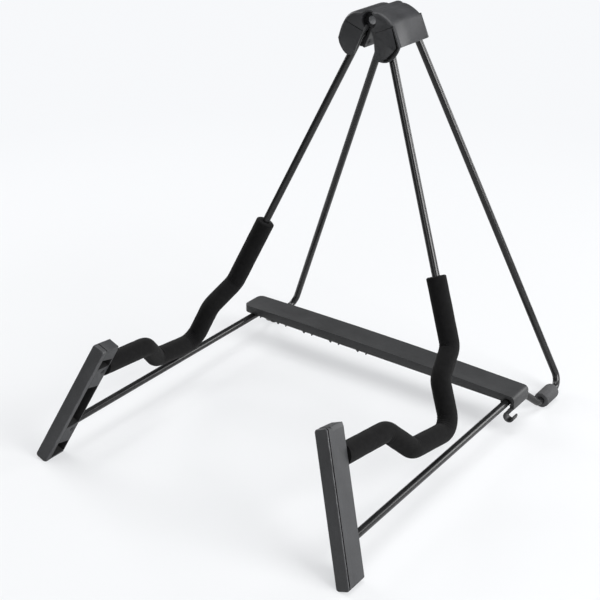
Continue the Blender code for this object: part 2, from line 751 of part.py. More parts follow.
def build_hinge_shell(side, frame):
    mirror = side == "left"
    section = left_section() if mirror else right_section()
    face_y = LEFT_FACE_Y if mirror else RIGHT_FACE_Y
    wall_y = face_y + FRONT_WALL
    body = prism(section, across, face_y + FRONT_WALL / 2, SHELL_REAR_Y)
    shell = side_piece(f"{side}_hinge_shell", body, PLASTIC, side, frame)

    wall = prism(face_outline(side), across, face_y, wall_y)
    combine(shell, f"{side}_front_wall", wall, "UNION", mirror)
    block = box_outline((REAR_BLOCK_TOP_S, SHELL_INNER_OFF), (SKIRT[0], REAR_BLOCK_OFF))
    block_bm = prism(block, across, SHELL_REAR_Y - FRONT_WALL, REAR_BLOCK_Y)
    combine(shell, f"{side}_rear_block", block_bm, "UNION", mirror)

    ends = (FRONT_KNUCKLE_Y, MIDDLE_KNUCKLE_FRONT_Y - GAP, MIDDLE_KNUCKLE_REAR_Y + GAP, SHELL_REAR_Y)
    outer_knuckles = ((ends[0], ends[1]), (ends[2], ends[3]))
    middle_knuckle = ((MIDDLE_KNUCKLE_FRONT_Y, MIDDLE_KNUCKLE_REAR_Y),)
    own, other = (middle_knuckle, outer_knuckles) if mirror else (outer_knuckles, middle_knuckle)
    facets = KNUCKLE_SIDES
    rooms = bmesh.new()
    for front, rear in other:
        ring = circle(circumscribed(CLEAR_R, facets), facets, (PIN_S, PIN_OFF))
        add_prism(rooms, ring, across, front - GAP, rear + (CUTTER_PAST if rear == SHELL_REAR_Y else GAP))
    combine(shell, f"{side}_knuckle_room", rooms, mirror=mirror)
    opening = prism(circle(CLEAR_R, facets, (PIN_S, PIN_OFF)), across, face_y - CUTTER_PAST, FRONT_KNUCKLE_Y)
    combine(shell, f"{side}_pin_opening", opening, mirror=mirror)
    knuckles = bmesh.new()
    for front, rear in own:
        add_prism(knuckles, circle(KNUCKLE_R, facets, (PIN_S, PIN_OFF)), across, front, rear)
    combine(shell, f"{side}_knuckles", knuckles, "UNION", mirror)
    if mirror:
        tail = [around_pin(SADDLE_R, angle) for angle in saddle_angles()]
        tail += [around_pin(CLEAR_R, angle) for angle in reversed(saddle_angles())]
        tail_bm = prism(tail, across, SHELL_REAR_Y - FRONT_WALL, SADDLE_REAR_Y)
        combine(shell, "left_saddle_tail", tail_bm, "UNION", mirror)

    bore = circle(circumscribed(BORE_R, 16), 16, (PIN_S, PIN_OFF))
    bore_bm = prism(bore, across, face_y, SADDLE_REAR_Y + CUTTER_PAST)
    combine(shell, f"{side}_pin_bore", bore_bm, mirror=mirror)
    combine(shell, f"{side}_rod_channel", channel(), mirror=mirror)
    combine(shell, f"{side}_cavities", cavities(), mirror=mirror)
    holes = bmesh.new()
    for place in screw_places():
        ring = circle(circumscribed(SCREW_D / 2 + GAP, 12), 12, place)
        deep = COVER_OFF + SCREW_LENGTH + SCREW_HEAD_LENGTH
        add_prism(holes, ring, through, SHELL_INNER_OFF - CUTTER_PAST, deep)
    combine(shell, f"{side}_screw_holes", holes, mirror=mirror)
    seam = [(FACE_SEAM_S, PIN_OFF + 2 * GAP), (FACE_SEAM_S, CREASE[1] * 1.5)]
    seam += [(FACE_SEAM_S + SEAM_WIDTH, seam[1][1]), (FACE_SEAM_S + SEAM_WIDTH, seam[0][1])]
    seam_bm = prism(seam, across, face_y - CUTTER_PAST, face_y + SEAM_WIDTH)
    combine(shell, f"{side}_face_seam", seam_bm, mirror=mirror)
    if not mirror:
        recess = prism(crescent(), across, face_y - CUTTER_PAST, face_y + CRESCENT_DEPTH)
        combine(shell, "right_crescent", recess)


def cavities():
    """Moulded hollows behind the outer skirt, open below, with a rib between them."""
    bm = bmesh.new()
    outline = [
        (CAVITY_TOP_S, CAVITY_OFF),
        (CAVITY_TOP_S, CREASE[1] - SHELL_WALL),
        (SKIRT[0] + CUTTER_PAST, SKIRT[1] - SHELL_WALL),
        (SKIRT[0] + CUTTER_PAST, CAVITY_OFF),
    ]
    add_prism(bm, outline, across, CAVITY_FRONT_Y, CAVITY_RIB_Y - CAVITY_RIB / 2)
    add_prism(bm, outline, across, CAVITY_RIB_Y + CAVITY_RIB / 2, CAVITY_REAR_Y)
    return bm


def screw_places():
    return [(SCREW_S, FRONT_SCREW_Y), (SCREW_S, REAR_SCREW_Y)]


def build_hinge_cover(side, frame):
    mirror = side == "left"
    top_s = PIN_S + CLEAR_R + GAP
    outline = box_outline((top_s, COVER_FRONT_Y), (COVER_FOOT_S, COVER_REAR_Y))
    bm = prism(outline, through, COVER_OFF, SHELL_INNER_OFF - GAP)
    cover = side_piece(f"{side}_hinge_cover", bm, PLASTIC, side, frame)
    wells = bmesh.new()
    for place in screw_places():
        ring = circle(circumscribed(SCREW_HEAD_D / 2 + GAP, 16), 16, place)
        add_prism(wells, ring, through, COVER_OFF - CUTTER_PAST, COVER_OFF + SCREW_HEAD_LENGTH + GAP)
    combine(cover, f"{side}_cover_wells", wells, mirror=mirror)
    holes = bmesh.new()
    for place in screw_places():
        ring = circle(circumscribed(SCREW_D / 2 + GAP, 12), 12, place)
        add_prism(holes, ring, through, COVER_OFF, SHELL_INNER_OFF + CUTTER_PAST)
    combine(cover, f"{side}_cover_holes", holes, mirror=mirror)


def build_hinge_screws(side, frame):
    mirror = side == "left"
    for place, (s, y) in zip(("front", "rear"), screw_places()):
        bm = prism(circle(SCREW_HEAD_D / 2, 16, (s, y)), through, COVER_OFF, COVER_OFF + SCREW_HEAD_LENGTH)
        screw = side_piece(f"{side}_hinge_screw_{place}", bm, STEEL, side, frame, smooth=True)
        shank = prism(circle(SCREW_D / 2, 12, (s, y)), through, COVER_OFF + GAP, COVER_OFF + SCREW_LENGTH)
        combine(screw, f"{side}_{place}_shank", shank, "UNION", mirror)
        long = SCREW_HEAD_D * 0.36
        slim = SCREW_SLOT / 2
        cross = [(-long, -slim), (-slim, -slim), (-slim, -long), (slim, -long), (slim, -slim), (long, -slim)]
        cross += [(-a, -b) for a, b in cross]
        outline = [(s + a, y + b) for a, b in cross]
        recess = prism(outline, through, COVER_OFF - CUTTER_PAST, COVER_OFF + SCREW_SLOT)
        combine(screw, f"{side}_{place}_drive", recess, mirror=mirror)


def turned_on_pin(stations, sides):
    """A solid turned about the pin's axis, from (y, radius) stations."""
    bm = bmesh.new()
    rings = [[bm.verts.new((x, y, z)) for x, z in circle(radius, sides)] for y, radius in stations]
    for near, far in zip(rings, rings[1:]):
        for i in range(sides):
            j = (i + 1) % sides
            bm.faces.new((near[i], near[j], far[j], far[i]))
    bm.faces.new(rings[0])
    bm.faces.new(rings[-1])
    return bm


def build_pin(frame):
    nut_y = SHELL_REAR_Y + GAP
    tail_y = nut_y + NUT_LENGTH + PIN_TAIL
    head_y = PIN_FRONT_Y + PIN_HEAD_LENGTH
    stations = [
        (PIN_FRONT_Y, PIN_HEAD_D / 2 - PIN_EDGE),
        (PIN_FRONT_Y + PIN_EDGE, PIN_HEAD_D / 2),
        (head_y, PIN_HEAD_D / 2),
        (head_y, PIN_D / 2),
        (tail_y - PIN_EDGE, PIN_D / 2),
        (tail_y, PIN_D / 2 - PIN_EDGE),
    ]
    make_object("hinge_pin", turned_on_pin(stations, PIN_SIDES), PLATED, frame, smooth=True)
    nut_bm = turned_on_pin([(nut_y, NUT_D / 2), (nut_y + NUT_LENGTH, NUT_D / 2)], PIN_SIDES)
    nut = make_object("hinge_pin_nut", nut_bm, PLATED, frame, smooth=True)
    bore_r = circumscribed(BORE_R, PIN_SIDES)
    bore = [(nut_y - CUTTER_PAST, bore_r), (tail_y + CUTTER_PAST, bore_r)]
    combine(nut, "nut_bore", turned_on_pin(bore, PIN_SIDES))


# Crossbar
def crossbar_y(x, side):
    """Front (-1) or rear (+1) edge of the crossbar at x, from its pivot."""
    return CROSSBAR_MIDDLE_Y + CROSSBAR_SKEW * x + side * CROSSBAR_WIDTH / 2


def skewed(point, level):
    """A side profile point of the crossbar, on its front or rear edge."""
    return (point[0], crossbar_y(point[0], level), point[1])


def seat_places():
    pivot_x = LOWER_RUN_S * SIN_LEAN
    return [-2 * pivot_x + i * SEAT_PITCH for i in range(SEAT_COUNT)]


def along_bar(x):
    """How far x is along the crossbar, from 0 at its left end to 1 at its right end."""
    left = seat_places()[0] - LEFT_END
    return (x - left) / (RIGHT_END - left)


def crossbar_top(x):
    share = along_bar(x)
    return LEFT_TOP + (RIGHT_TOP - LEFT_TOP) * share + CAMBER * 4 * share * (1 - share)


def skirt_edge(x):
    """Height of the skirts' lower edge, which is straight."""
    share = along_bar(x)
    left = LEFT_TOP - SKIRT_HEIGHT
    return left + (RIGHT_TOP - RIGHT_SKIRT_HEIGHT - left) * share


def crossbar_profile():
    left = seat_places()[0] - LEFT_END
    hook_x = ROD_R - GAP
    lower = [(left, skirt_edge(left)), (hook_x, skirt_edge(hook_x))]
    hook = [(hook_x, -HOOK_DROP), (RIGHT_END, -HOOK_DROP)]
    upper = []
    end_x = RIGHT_END - RIGHT_END_ROUND
    end_z = crossbar_top(end_x) - RIGHT_END_ROUND
    for i in range(4):
        angle = math.pi / 8 * i
        upper.append((end_x + RIGHT_END_ROUND * math.cos(angle), end_z + RIGHT_END_ROUND * math.sin(angle)))
    for i in range(BOW_FACETS + 1):
        x = end_x + (left - end_x) * i / BOW_FACETS
        upper.append((x, crossbar_top(x)))
    return lower + hook + upper


def tooth(x, way):
    """One tooth of a seat; way is -1 for its left tooth and +1 for its right one."""
    tip = skirt_edge(x) - TOOTH_LENGTH
    near = x + way * SEAT_HALF
    far = near + way * TOOTH_WIDTH
    outline = [
        (near, skirt_edge(near) + GAP),
        (near, tip),
        (near + way * TOOTH_TIP, tip),
        (far, tip + TOOTH_WIDTH - TOOTH_TIP),
        (far, skirt_edge(far) + GAP),
    ]
    return outline[::way]


def seat_rib():
    """Outline of a rib: teeth along its lower edge, its upper edge inside the plate."""
    outline = []
    for x in seat_places():
        outline += tooth(x, -1) + tooth(x, 1)
    left, right = outline[0][0], outline[-1][0]
    for i in range(BOW_FACETS + 1):
        x = right + (left - right) * i / BOW_FACETS
        outline.append((x, crossbar_top(x) - PLATE / 2))
    return outline


def seat_ribs():
    """The front and rear ribs along the hollow, which hold the rod between their teeth."""
    bm = bmesh.new()
    for side, inset in ((-1, FRONT_RIB_IN), (1, REAR_RIB_IN)):
        rings = []
        for depth in (inset, inset + SEAT_RIB):
            rings.append([bm.verts.new((x, crossbar_y(x, side) - side * depth, z)) for x, z in seat_rib()])
        skin(bm, rings)
    return bm


def skin(bm, rings):
    """Close a solid over a list of rings."""
    for near, far in zip(rings, rings[1:]):
        for k in range(len(near)):
            m = (k + 1) % len(near)
            bm.faces.new((near[k], near[m], far[m], far[k]))
    bm.faces.new(rings[0])
    bm.faces.new(rings[-1])


def ring_section(centre, inner, outer, mouth, opening):
    """A C-shaped section whose mouth faces the given angle."""
    start = mouth + opening / 2
    sweep_angle = 2 * math.pi - opening
    angles = [start + sweep_angle * i / CLIP_FACETS for i in range(CLIP_FACETS + 1)]
    outside = [(centre[0] + outer * math.cos(a), centre[1] + outer * math.sin(a)) for a in angles]
    inside = [(centre[0] + inner * math.cos(a), centre[1] + inner * math.sin(a)) for a in reversed(angles)]
    return outside + inside


def build_crossbar(pivot):
    bm = bmesh.new()
    add_prism(bm, crossbar_profile(), skewed, -1, 1)
    left = seat_places()[0] - LEFT_END
    corners = [edge for edge in bm.edges if all(abs(vert.co.x - left) < GAP for vert in edge.verts)
               and abs(edge.verts[0].co.y - edge.verts[1].co.y) < GAP]
    bmesh.ops.bevel(bm, geom=corners, offset=CORNER, segments=4, affect="EDGES", profile=0.5)
    bar = make_object("crossbar", bm, PLASTIC, pivot)

    combine(bar, "crossbar_hollow", crossbar_hollow())
    combine(bar, "seat_ribs", seat_ribs(), "UNION")
    combine(bar, "pivot_room", pivot_room())
    inner = circumscribed(ROD_R + GAP, CLIP_FACETS)
    wrap = ring_section((0, 0), inner, ROD_R + GAP + CLIP_WALL, PIVOT_MOUTH, PIVOT_OPENING)
    front = crossbar_y(0, -1)
    combine(bar, "pivot_step_room", pivot_step_room())
    combine(bar, "pivot_wrap", prism(wrap, along_y, front + PLATE / 2, HOOK_REAR_Y), "UNION")
    arch = [
        (-ARCH_HALF, -HOOK_DROP - CUTTER_PAST),
        (-ARCH_HALF, ROD_R * 0.4),
        (-ARCH_HALF * 0.6, ARCH_TOP),
        (ARCH_HALF * 0.6, ARCH_TOP),
        (ARCH_HALF, ROD_R * 0.4),
        (ARCH_HALF, -HOOK_DROP - CUTTER_PAST),
    ]
    combine(bar, "pivot_arch", prism(arch, along_y, front - CUTTER_PAST, front + PLATE))
    combine(bar, "storage_clip", storage_clip(), "UNION")


def storage_clip():
    """The clip for the left frame's rod and the neck that it hangs from, as one outline."""
    outer = ROD_R + STORAGE_CLIP_WALL
    inner = ROD_R + GAP / 2
    outline = ring_section(STORAGE_CLIP_AT, inner, outer, STORAGE_MOUTH, STORAGE_OPENING)
    lip_z = STORAGE_CLIP_AT[1] + STORAGE_LIP
    lip = [(STORAGE_CLIP_AT[0] + outer, lip_z), (STORAGE_CLIP_AT[0] + inner + GAP, lip_z)]
    count = len(outline) // 2
    neck = [(RIGHT_END - GAP, -HOOK_DROP + PLATE / 2), (ARCH_HALF - PLATE / 2, -HOOK_DROP + PLATE / 2)]
    outline = neck + outline[1:count] + lip + outline[count:]
    half = STORAGE_CLIP_LENGTH / 2
    return prism(outline, along_y, STORAGE_CLIP_Y - half, STORAGE_CLIP_Y + half)


def crossbar_hollow():
    """The hollow under the plate, with a wall left all round."""
    left = seat_places()[0] - LEFT_END + PLATE
    right = -ROD_R - GAP - CLIP_WALL
    bm = bmesh.new()
    stations = [left + (right - left) * i / BOW_FACETS for i in range(BOW_FACETS + 1)]
    low = -HOOK_DROP - CUTTER_PAST
    rings = []
    for i, x in enumerate(stations):
        inset = PLATE + (CORNER - PLATE if i == 0 else 0)
        front = crossbar_y(x, -1) + inset
        rear = crossbar_y(x, 1) - inset
        high = crossbar_top(x) - PLATE
        corners = ((x, front, low), (x, rear, low), (x, rear, high), (x, front, high))
        rings.append([bm.verts.new(corner) for corner in corners])
        if i == 0:
            x_in = x + CORNER - PLATE
            front = crossbar_y(x_in, -1) + PLATE
            rear = crossbar_y(x_in, 1) - PLATE
            high = crossbar_top(x_in) - PLATE
            corners = ((x_in, front, low), (x_in, rear, low), (x_in, rear, high), (x_in, front, high))
            rings.append([bm.verts.new(corner) for corner in corners])
    skin(bm, rings)
    return bm


def pivot_room():
    """Room for the pivot's rod through the bar's right end."""
    radius = circumscribed(ROD_R + GAP, CLIP_FACETS)
    outline = circle(radius, CLIP_FACETS)
    return prism(outline, along_y, crossbar_y(0, -1) - CUTTER_PAST, crossbar_y(0, 1) + CUTTER_PAST)


def pivot_step_room():
    """Room behind the hook, where the rod steps down to the floor run."""
    low = -HOOK_DROP - CUTTER_PAST
    outline = box_outline((-STEP_ROOM, low), (STEP_ROOM, ARCH_TOP))
    return prism(outline, along_y, HOOK_REAR_Y, crossbar_y(0, 1) + CUTTER_PAST)


def frame_matrix(side):
    """Axes of a frame's drawing: down the plane, rearwards, and their cross product."""
    sign = 1 if side == "right" else -1
    down = Vector((sign * SIN_LEAN, 0, -COS_LEAN))
    rear = Vector((0, 1, 0))
    out = down.cross(rear)
    return Matrix((down, rear, out)).transposed().to_4x4()


def rearmost():
    return max(point.y for point in rod_route()) + ROD_R


def make_empty(name, location, matrix=None):
    empty = bpy.data.objects.new(name, None)
    bpy.context.scene.collection.objects.link(empty)
    empty.matrix_world = Matrix.Translation(location) @ (matrix or Matrix.Identity(4))
    return empty


def main():
    clear_scene()
    foremost = bar_point(bar_t(bar_floor_s() + STRIP_OVERHANG, 0), 0)[1]
    middle_y = -(foremost + rearmost()) / 2
    pin_at = Vector((0, middle_y, -PIN_DROP - FLOOR_Z))
    for side in ("right", "left"):
        frame = make_empty(f"{side}_frame_on_pin", pin_at, frame_matrix(side))
        build_wire(side, frame)
        build_foam(side, frame)
        build_rear_foot(side, frame)
        build_foot_bar(side, frame)
        build_foot_strip(side, frame)
        build_set_screws(side, frame)
        build_hinge_shell(side, frame)
        build_hinge_cover(side, frame)
        build_hinge_screws(side, frame)
    build_pin(make_empty("pin_axis", pin_at))
    pivot_at = Vector((LOWER_RUN_S * SIN_LEAN, middle_y, -LOWER_RUN_S * COS_LEAN - FLOOR_Z))
    build_crossbar(make_empty("crossbar_pivot", pivot_at))


main()
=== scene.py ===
# %% [markdown]
# # A folding guitar stand
#
# Two bent steel rods hang from a moulded hinge and spread into an A.
# Foam sleeves cover the arms that hold the guitar, and a notched crossbar keeps the feet apart.
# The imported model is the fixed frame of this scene: every piece here is built round it and moves with it.

# %% Load the frame
import math

import bmesh
import bpy
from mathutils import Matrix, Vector, noise
from mathutils.bvhtree import BVHTree


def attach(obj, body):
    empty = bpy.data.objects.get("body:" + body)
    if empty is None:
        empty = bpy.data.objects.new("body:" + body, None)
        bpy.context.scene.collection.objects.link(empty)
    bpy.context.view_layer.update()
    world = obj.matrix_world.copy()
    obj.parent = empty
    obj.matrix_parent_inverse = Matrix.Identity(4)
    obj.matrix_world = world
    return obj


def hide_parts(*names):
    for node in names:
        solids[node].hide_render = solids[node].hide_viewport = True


SIDES = ("right", "left")

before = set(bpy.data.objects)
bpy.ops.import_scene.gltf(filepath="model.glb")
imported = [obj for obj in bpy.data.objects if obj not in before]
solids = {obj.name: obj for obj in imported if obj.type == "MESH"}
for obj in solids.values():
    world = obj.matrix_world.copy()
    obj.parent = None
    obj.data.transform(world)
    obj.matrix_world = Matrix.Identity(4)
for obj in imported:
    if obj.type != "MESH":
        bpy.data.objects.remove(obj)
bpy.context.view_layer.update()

# %% [markdown]
# ## The camera
#
# The two frames of the real stand are mirror images, so their outlines in a picture fix where the lens was.
# It stood at the front right, 1.2 metres from the middle of the floor, and looked down by 25 degrees.
# A 75 mm lens on a 36 mm sensor gives the same narrow view.

# %% Camera
CAMERA_AT = (0.58721, -0.83405, 0.60683)
CAMERA_TURN = (64.8727, 0.3142, 35.6763)

camera = bpy.data.objects.new("camera", bpy.data.cameras.new("camera"))
bpy.context.scene.collection.objects.link(camera)
camera.data.lens = 75
camera.data.sensor_width = 36
camera.location = CAMERA_AT
camera.rotation_euler = [math.radians(angle) for angle in CAMERA_TURN]
bpy.context.scene.camera = camera
print("camera is", round(camera.location.length, 3), "m from the floor's centre")

# %% [markdown]
# ## Drawing in a leaning plane
#
# Each frame is flat, so it is easiest to draw with two numbers: s down the plane and y towards the rear.
# A third number, off, steps out of the plane, away from the other frame.
# One function turns these into a place in the room, and mirrors it for the left frame.

# %% The leaning planes
LEAN = math.radians(23.3)
HINGE_LINE = Vector((0, 0.11449, 0.38183))
FLOOR_RUN_S = 0.408


def in_frame(side, s, y, off=0.0):
    """A place in the room from a frame's own coordinates, in metres."""
    across = s * math.sin(LEAN) + off * math.cos(LEAN)
    up = off * math.sin(LEAN) - s * math.cos(LEAN)
    return HINGE_LINE + Vector((across if side == "right" else -across, y, up))


print("right frame's floor run is near", [round(c, 3) for c in in_frame("right", FLOOR_RUN_S, 0.05)])

# %% [markdown]
# ## Turning a mesh into a piece
#
# Every piece needs the same few steps: a mesh, smooth shading with crisp creases, a material, and a body to ride on.
# Gathering the steps in one function keeps each later cell short.

# %% Piece helper
def add_piece(name, bm, material, body, node, crease=35):
    """Make an object from a bmesh, shade it, and let it ride on a body in place of a node's solid."""
    bmesh.ops.recalc_face_normals(bm, faces=bm.faces)
    mesh = bpy.data.meshes.new(name)
    bm.to_mesh(mesh)
    bm.free()
    mesh.shade_smooth()
    mesh.set_sharp_from_angle(angle=math.radians(crease))
    mesh.materials.append(material)
    piece = bpy.data.objects.new(name, mesh)
    bpy.context.scene.collection.objects.link(piece)
    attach(piece, body)
    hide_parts(node)
    print(name, len(mesh.polygons), "faces")
    return piece


print("piece helper ready")

# %% [markdown]
# ## Node helpers
#
# A material is a small graph of nodes. A few helpers make the graphs readable:
# they place a node and feed its inputs, calculate, mix two colours, or make a ramp between two.

# %% Node helpers
def feed(tree, socket, value):
    """Link a socket to an input, or set the input to a number or colour."""
    if isinstance(value, bpy.types.NodeSocket):
        tree.links.new(value, socket)
    else:
        socket.default_value = value


def feed_all(tree, node, sockets):
    """Feed a node's inputs, named with _ for a space."""
    for label, value in sockets.items():
        feed(tree, node.inputs[label.replace("_", " ")], value)


def place(tree, kind, at, **sockets):
    """Add a node and feed its inputs."""
    node = tree.nodes.new(kind)
    node.location = at
    feed_all(tree, node, sockets)
    return node


def calculate(tree, operation, at, *values):
    """Add a maths node fed with sockets or numbers, and hand back its result."""
    node = place(tree, "ShaderNodeMath", at)
    node.operation = operation
    for socket, value in zip(node.inputs, values):
        feed(tree, socket, value)
    return node.outputs[0]


def mix_colours(tree, at, share, low, high):
    """Mix two colours: a share of 0 gives low and 1 gives high."""
    node = place(tree, "ShaderNodeMix", at)
    node.data_type = "RGBA"
    factor, first, second, result = node.inputs[0], node.inputs[6], node.inputs[7], node.outputs[2]
    for socket, value in ((factor, share), (first, low), (second, high)):
        feed(tree, socket, value)
    return result


def tone_ramp(tree, at, share, *ends):
    """A ramp between two ends, each a position and a colour."""
    node = place(tree, "ShaderNodeValToRGB", at, Fac=share)
    for element, (position, colour) in zip(node.color_ramp.elements, ends):
        element.position = position
        element.color = (*colour, 1)
    return node.outputs["Color"]


print("node helpers ready")

# %% [markdown]
# ## Starting a group or a material
#
# An effect that several materials share is a node group, made once with named inputs and outputs.
# Every material ends in the same three links: a colour, a roughness and a relief.

# %% Group and material helpers
COLOUR, FLOAT = "NodeSocketColor", "NodeSocketFloat"


def start_group(name, inputs, outputs):
    """Begin a shader node group with its sockets made."""
    tree = bpy.data.node_groups.new(name, "ShaderNodeTree")
    for label, kind, value in inputs:
        socket = tree.interface.new_socket(label, in_out="INPUT", socket_type=kind)
        socket.default_value = value
    for label, kind in outputs:
        tree.interface.new_socket(label, in_out="OUTPUT", socket_type=kind)
    return tree, tree.nodes.new("NodeGroupInput"), tree.nodes.new("NodeGroupOutput")


def start_material(name, metallic=0.0, specular=0.5):
    """Begin a material and hand back its tree and its shader."""
    material = bpy.data.materials.new(name)
    material.use_nodes = True
    shader = material.node_tree.nodes["Principled BSDF"]
    shader.inputs["Metallic"].default_value = metallic
    shader.inputs["Specular IOR Level"].default_value = specular
    return material, material.node_tree, shader


def use_group(tree, group, at, **sockets):
    """Place a node group in a material with its own values."""
    node = tree.nodes.new("ShaderNodeGroup")
    node.node_tree = group
    node.location = at
    feed_all(tree, node, sockets)
    return node


def dress(tree, shader, colour, roughness, height, depth, strength=1.0):
    """Link a colour, a roughness and a relief to a shader."""
    relief = place(tree, "ShaderNodeBump", (-300, -260), Height=height, Distance=depth, Strength=strength)
    tree.links.new(colour, shader.inputs["Base Color"])
    feed(tree, shader.inputs["Roughness"], roughness)
    tree.links.new(relief.outputs["Normal"], shader.inputs["Normal"])


print("group and material helpers ready")

# %% [markdown]
# ## Grain that moulded plastic picks up from its tool
#
# The steel tool for hinge, foot bars and crossbar is spark-eroded, so the plastic comes out with a fine, even pebble.
# Small cells give the pebble and a slow noise gives the faint cloudiness of the black pigment.
# Several materials use this effect, so it is a group.

# %% Grain group
grain, grain_in, grain_out = start_group(
    "Tool grain",
    [("Dark", COLOUR, (0.03, 0.03, 0.03, 1)), ("Light", COLOUR, (0.06, 0.06, 0.06, 1)),
     ("Pebble Size", FLOAT, 0.0009), ("Roughness", FLOAT, 0.55)],
    [("Colour", COLOUR), ("Roughness", FLOAT), ("Height", FLOAT)],
)
where = place(grain, "ShaderNodeTexCoord", (-1100, 0))
per_metre = calculate(grain, "DIVIDE", (-1100, -300), 1.0, grain_in.outputs["Pebble Size"])
pebble = place(grain, "ShaderNodeTexNoise", (-800, 200), Vector=where.outputs["Object"],
               Scale=per_metre, Detail=3.0, Roughness=0.6)
cloud = place(grain, "ShaderNodeTexNoise", (-800, -100), Vector=where.outputs["Object"], Scale=38.0, Detail=3.0)
both = calculate(grain, "MULTIPLY_ADD", (-560, 60), pebble.outputs["Fac"], 0.9, cloud.outputs["Fac"])
spread = place(grain, "ShaderNodeMapRange", (-380, 60), Value=both, From_Min=0.65, From_Max=1.25)
tone = mix_colours(grain, (-180, 120), spread.outputs["Result"], grain_in.outputs["Dark"], grain_in.outputs["Light"])
uneven = calculate(grain, "MULTIPLY_ADD", (-380, -200), cloud.outputs["Fac"], 0.16, grain_in.outputs["Roughness"])
grain.links.new(tone, grain_out.inputs["Colour"])
grain.links.new(uneven, grain_out.inputs["Roughness"])
grain.links.new(pebble.outputs["Fac"], grain_out.inputs["Height"])
print("grain group:", len(grain.nodes), "nodes")

# %% [markdown]
# ## Painted edge highlights and painted shade in pockets
#
# The narrow faces that round a moulding's edges are painted a little lighter, a painted highlight along each edge, and
# made a little glossier.
# The meshes carry a value of 1 on those faces, and the group breaks it up with noise.
# Recesses get painted shade: a second value, 1 inside them, takes the colour down towards black.

# %% Edge highlight and shade group
# The layers that mark rounded edges and recesses, and the near black of the painted shade.
EDGE_LAYER, PAINTED_SHADE_LAYER = "rounded_edge", "recess"
PAINTED_SHADE_BLACK = (0.0025, 0.0025, 0.0027, 1)

edge_light_shade, edge_light_shade_in, edge_light_shade_out = start_group(
    "Edge highlight and shade",
    [("Colour", COLOUR, (0.05, 0.05, 0.05, 1)), ("Rubbed Colour", COLOUR, (0.12, 0.12, 0.12, 1)),
     ("Roughness", FLOAT, 0.55), ("Amount", FLOAT, 0.5)],
    [("Colour", COLOUR), ("Roughness", FLOAT)],
)
edge_value = place(edge_light_shade, "ShaderNodeAttribute", (-900, 100))
edge_value.attribute_name = EDGE_LAYER
painted_shade_value = place(edge_light_shade, "ShaderNodeAttribute", (-140, 420))
painted_shade_value.attribute_name = PAINTED_SHADE_LAYER
where = place(edge_light_shade, "ShaderNodeTexCoord", (-1100, -160))
patches = place(edge_light_shade, "ShaderNodeTexNoise", (-900, -160), Vector=where.outputs["Object"], Scale=160.0, Detail=4.0)
patchy = place(edge_light_shade, "ShaderNodeMapRange", (-700, -160), Value=patches.outputs["Fac"], From_Min=0.35, From_Max=0.65)
# Painted highlight: the marked edge faces, broken up by noise, are mixed towards a lighter colour.
edge_highlight_mask = calculate(edge_light_shade, "MULTIPLY", (-520, 40), edge_value.outputs["Fac"], patchy.outputs["Result"])
edge_highlight_amount = calculate(edge_light_shade, "MULTIPLY", (-340, 40), edge_highlight_mask, edge_light_shade_in.outputs["Amount"])
edge_highlight_tone = mix_colours(edge_light_shade, (-140, 140), edge_highlight_amount,
                        edge_light_shade_in.outputs["Colour"], edge_light_shade_in.outputs["Rubbed Colour"])
glossier = calculate(edge_light_shade, "MULTIPLY_ADD", (-140, -120), edge_highlight_amount, -0.18, edge_light_shade_in.outputs["Roughness"])
# Painted shade: faces marked as recesses are mixed towards near black.
painted_shade_tone = mix_colours(edge_light_shade, (60, 300), painted_shade_value.outputs["Fac"], edge_highlight_tone, PAINTED_SHADE_BLACK)
edge_light_shade.links.new(painted_shade_tone, edge_light_shade_out.inputs["Colour"])
edge_light_shade.links.new(glossier, edge_light_shade_out.inputs["Roughness"])
print("rubbed edge group:", len(edge_light_shade.nodes), "nodes")

# %% [markdown]
# ## The moulded plastics
#
# Hinge, foot bars and strips are black, glass-filled nylon with a visible pebble; the crossbar is smoother.
# A bump node turns the pebble into relief of a few hundredths of a millimetre.

# %% Plastic materials
# The painted edge highlight is the light tone times this gain.
EDGE_HIGHLIGHT_GAIN = 2.2


def moulded_plastic(name, dark, light, pebble_size, roughness, relief, edge_highlight_share=0.5):
    """Black moulded plastic: grain, a painted highlight on rounded edges, painted shade in recesses and a shallow
    pebble.
    """
    material, tree, shader = start_material(name)
    skin = use_group(tree, grain, (-700, 0), Dark=(*dark, 1), Light=(*light, 1),
                     Pebble_Size=pebble_size, Roughness=roughness)
    edges = use_group(tree, edge_light_shade, (-450, 100), Colour=skin.outputs["Colour"], Amount=edge_highlight_share,
                      Rubbed_Colour=(*[c * EDGE_HIGHLIGHT_GAIN for c in light], 1), Roughness=skin.outputs["Roughness"])
    dress(tree, shader, edges.outputs["Colour"], edges.outputs["Roughness"], skin.outputs["Height"], relief, 0.8)
    return material


hinge_plastic = moulded_plastic(
    "hinge_nylon", (0.018, 0.0185, 0.020), (0.034, 0.035, 0.038), 0.0009, 0.40, 0.00006)
foot_plastic = moulded_plastic(
    "foot_bar_nylon", (0.024, 0.025, 0.027), (0.043, 0.044, 0.047), 0.0010, 0.44, 0.00007)
strip_plastic = moulded_plastic(
    "foot_strip_nylon", (0.030, 0.0305, 0.032), (0.053, 0.054, 0.057), 0.0010, 0.46, 0.00007)
bar_plastic = moulded_plastic(
    "crossbar_plastic", (0.022, 0.0225, 0.0235), (0.034, 0.0345, 0.036), 0.0007, 0.42, 0.00003, edge_highlight_share=0.35)
print("plastics ready")

# %% [markdown]
# ## Painted rod
#
# The rods are cold-drawn steel with satin black powder paint.
# Powder flows as it cures and leaves a faint orange peel, which is what breaks up the long highlights.

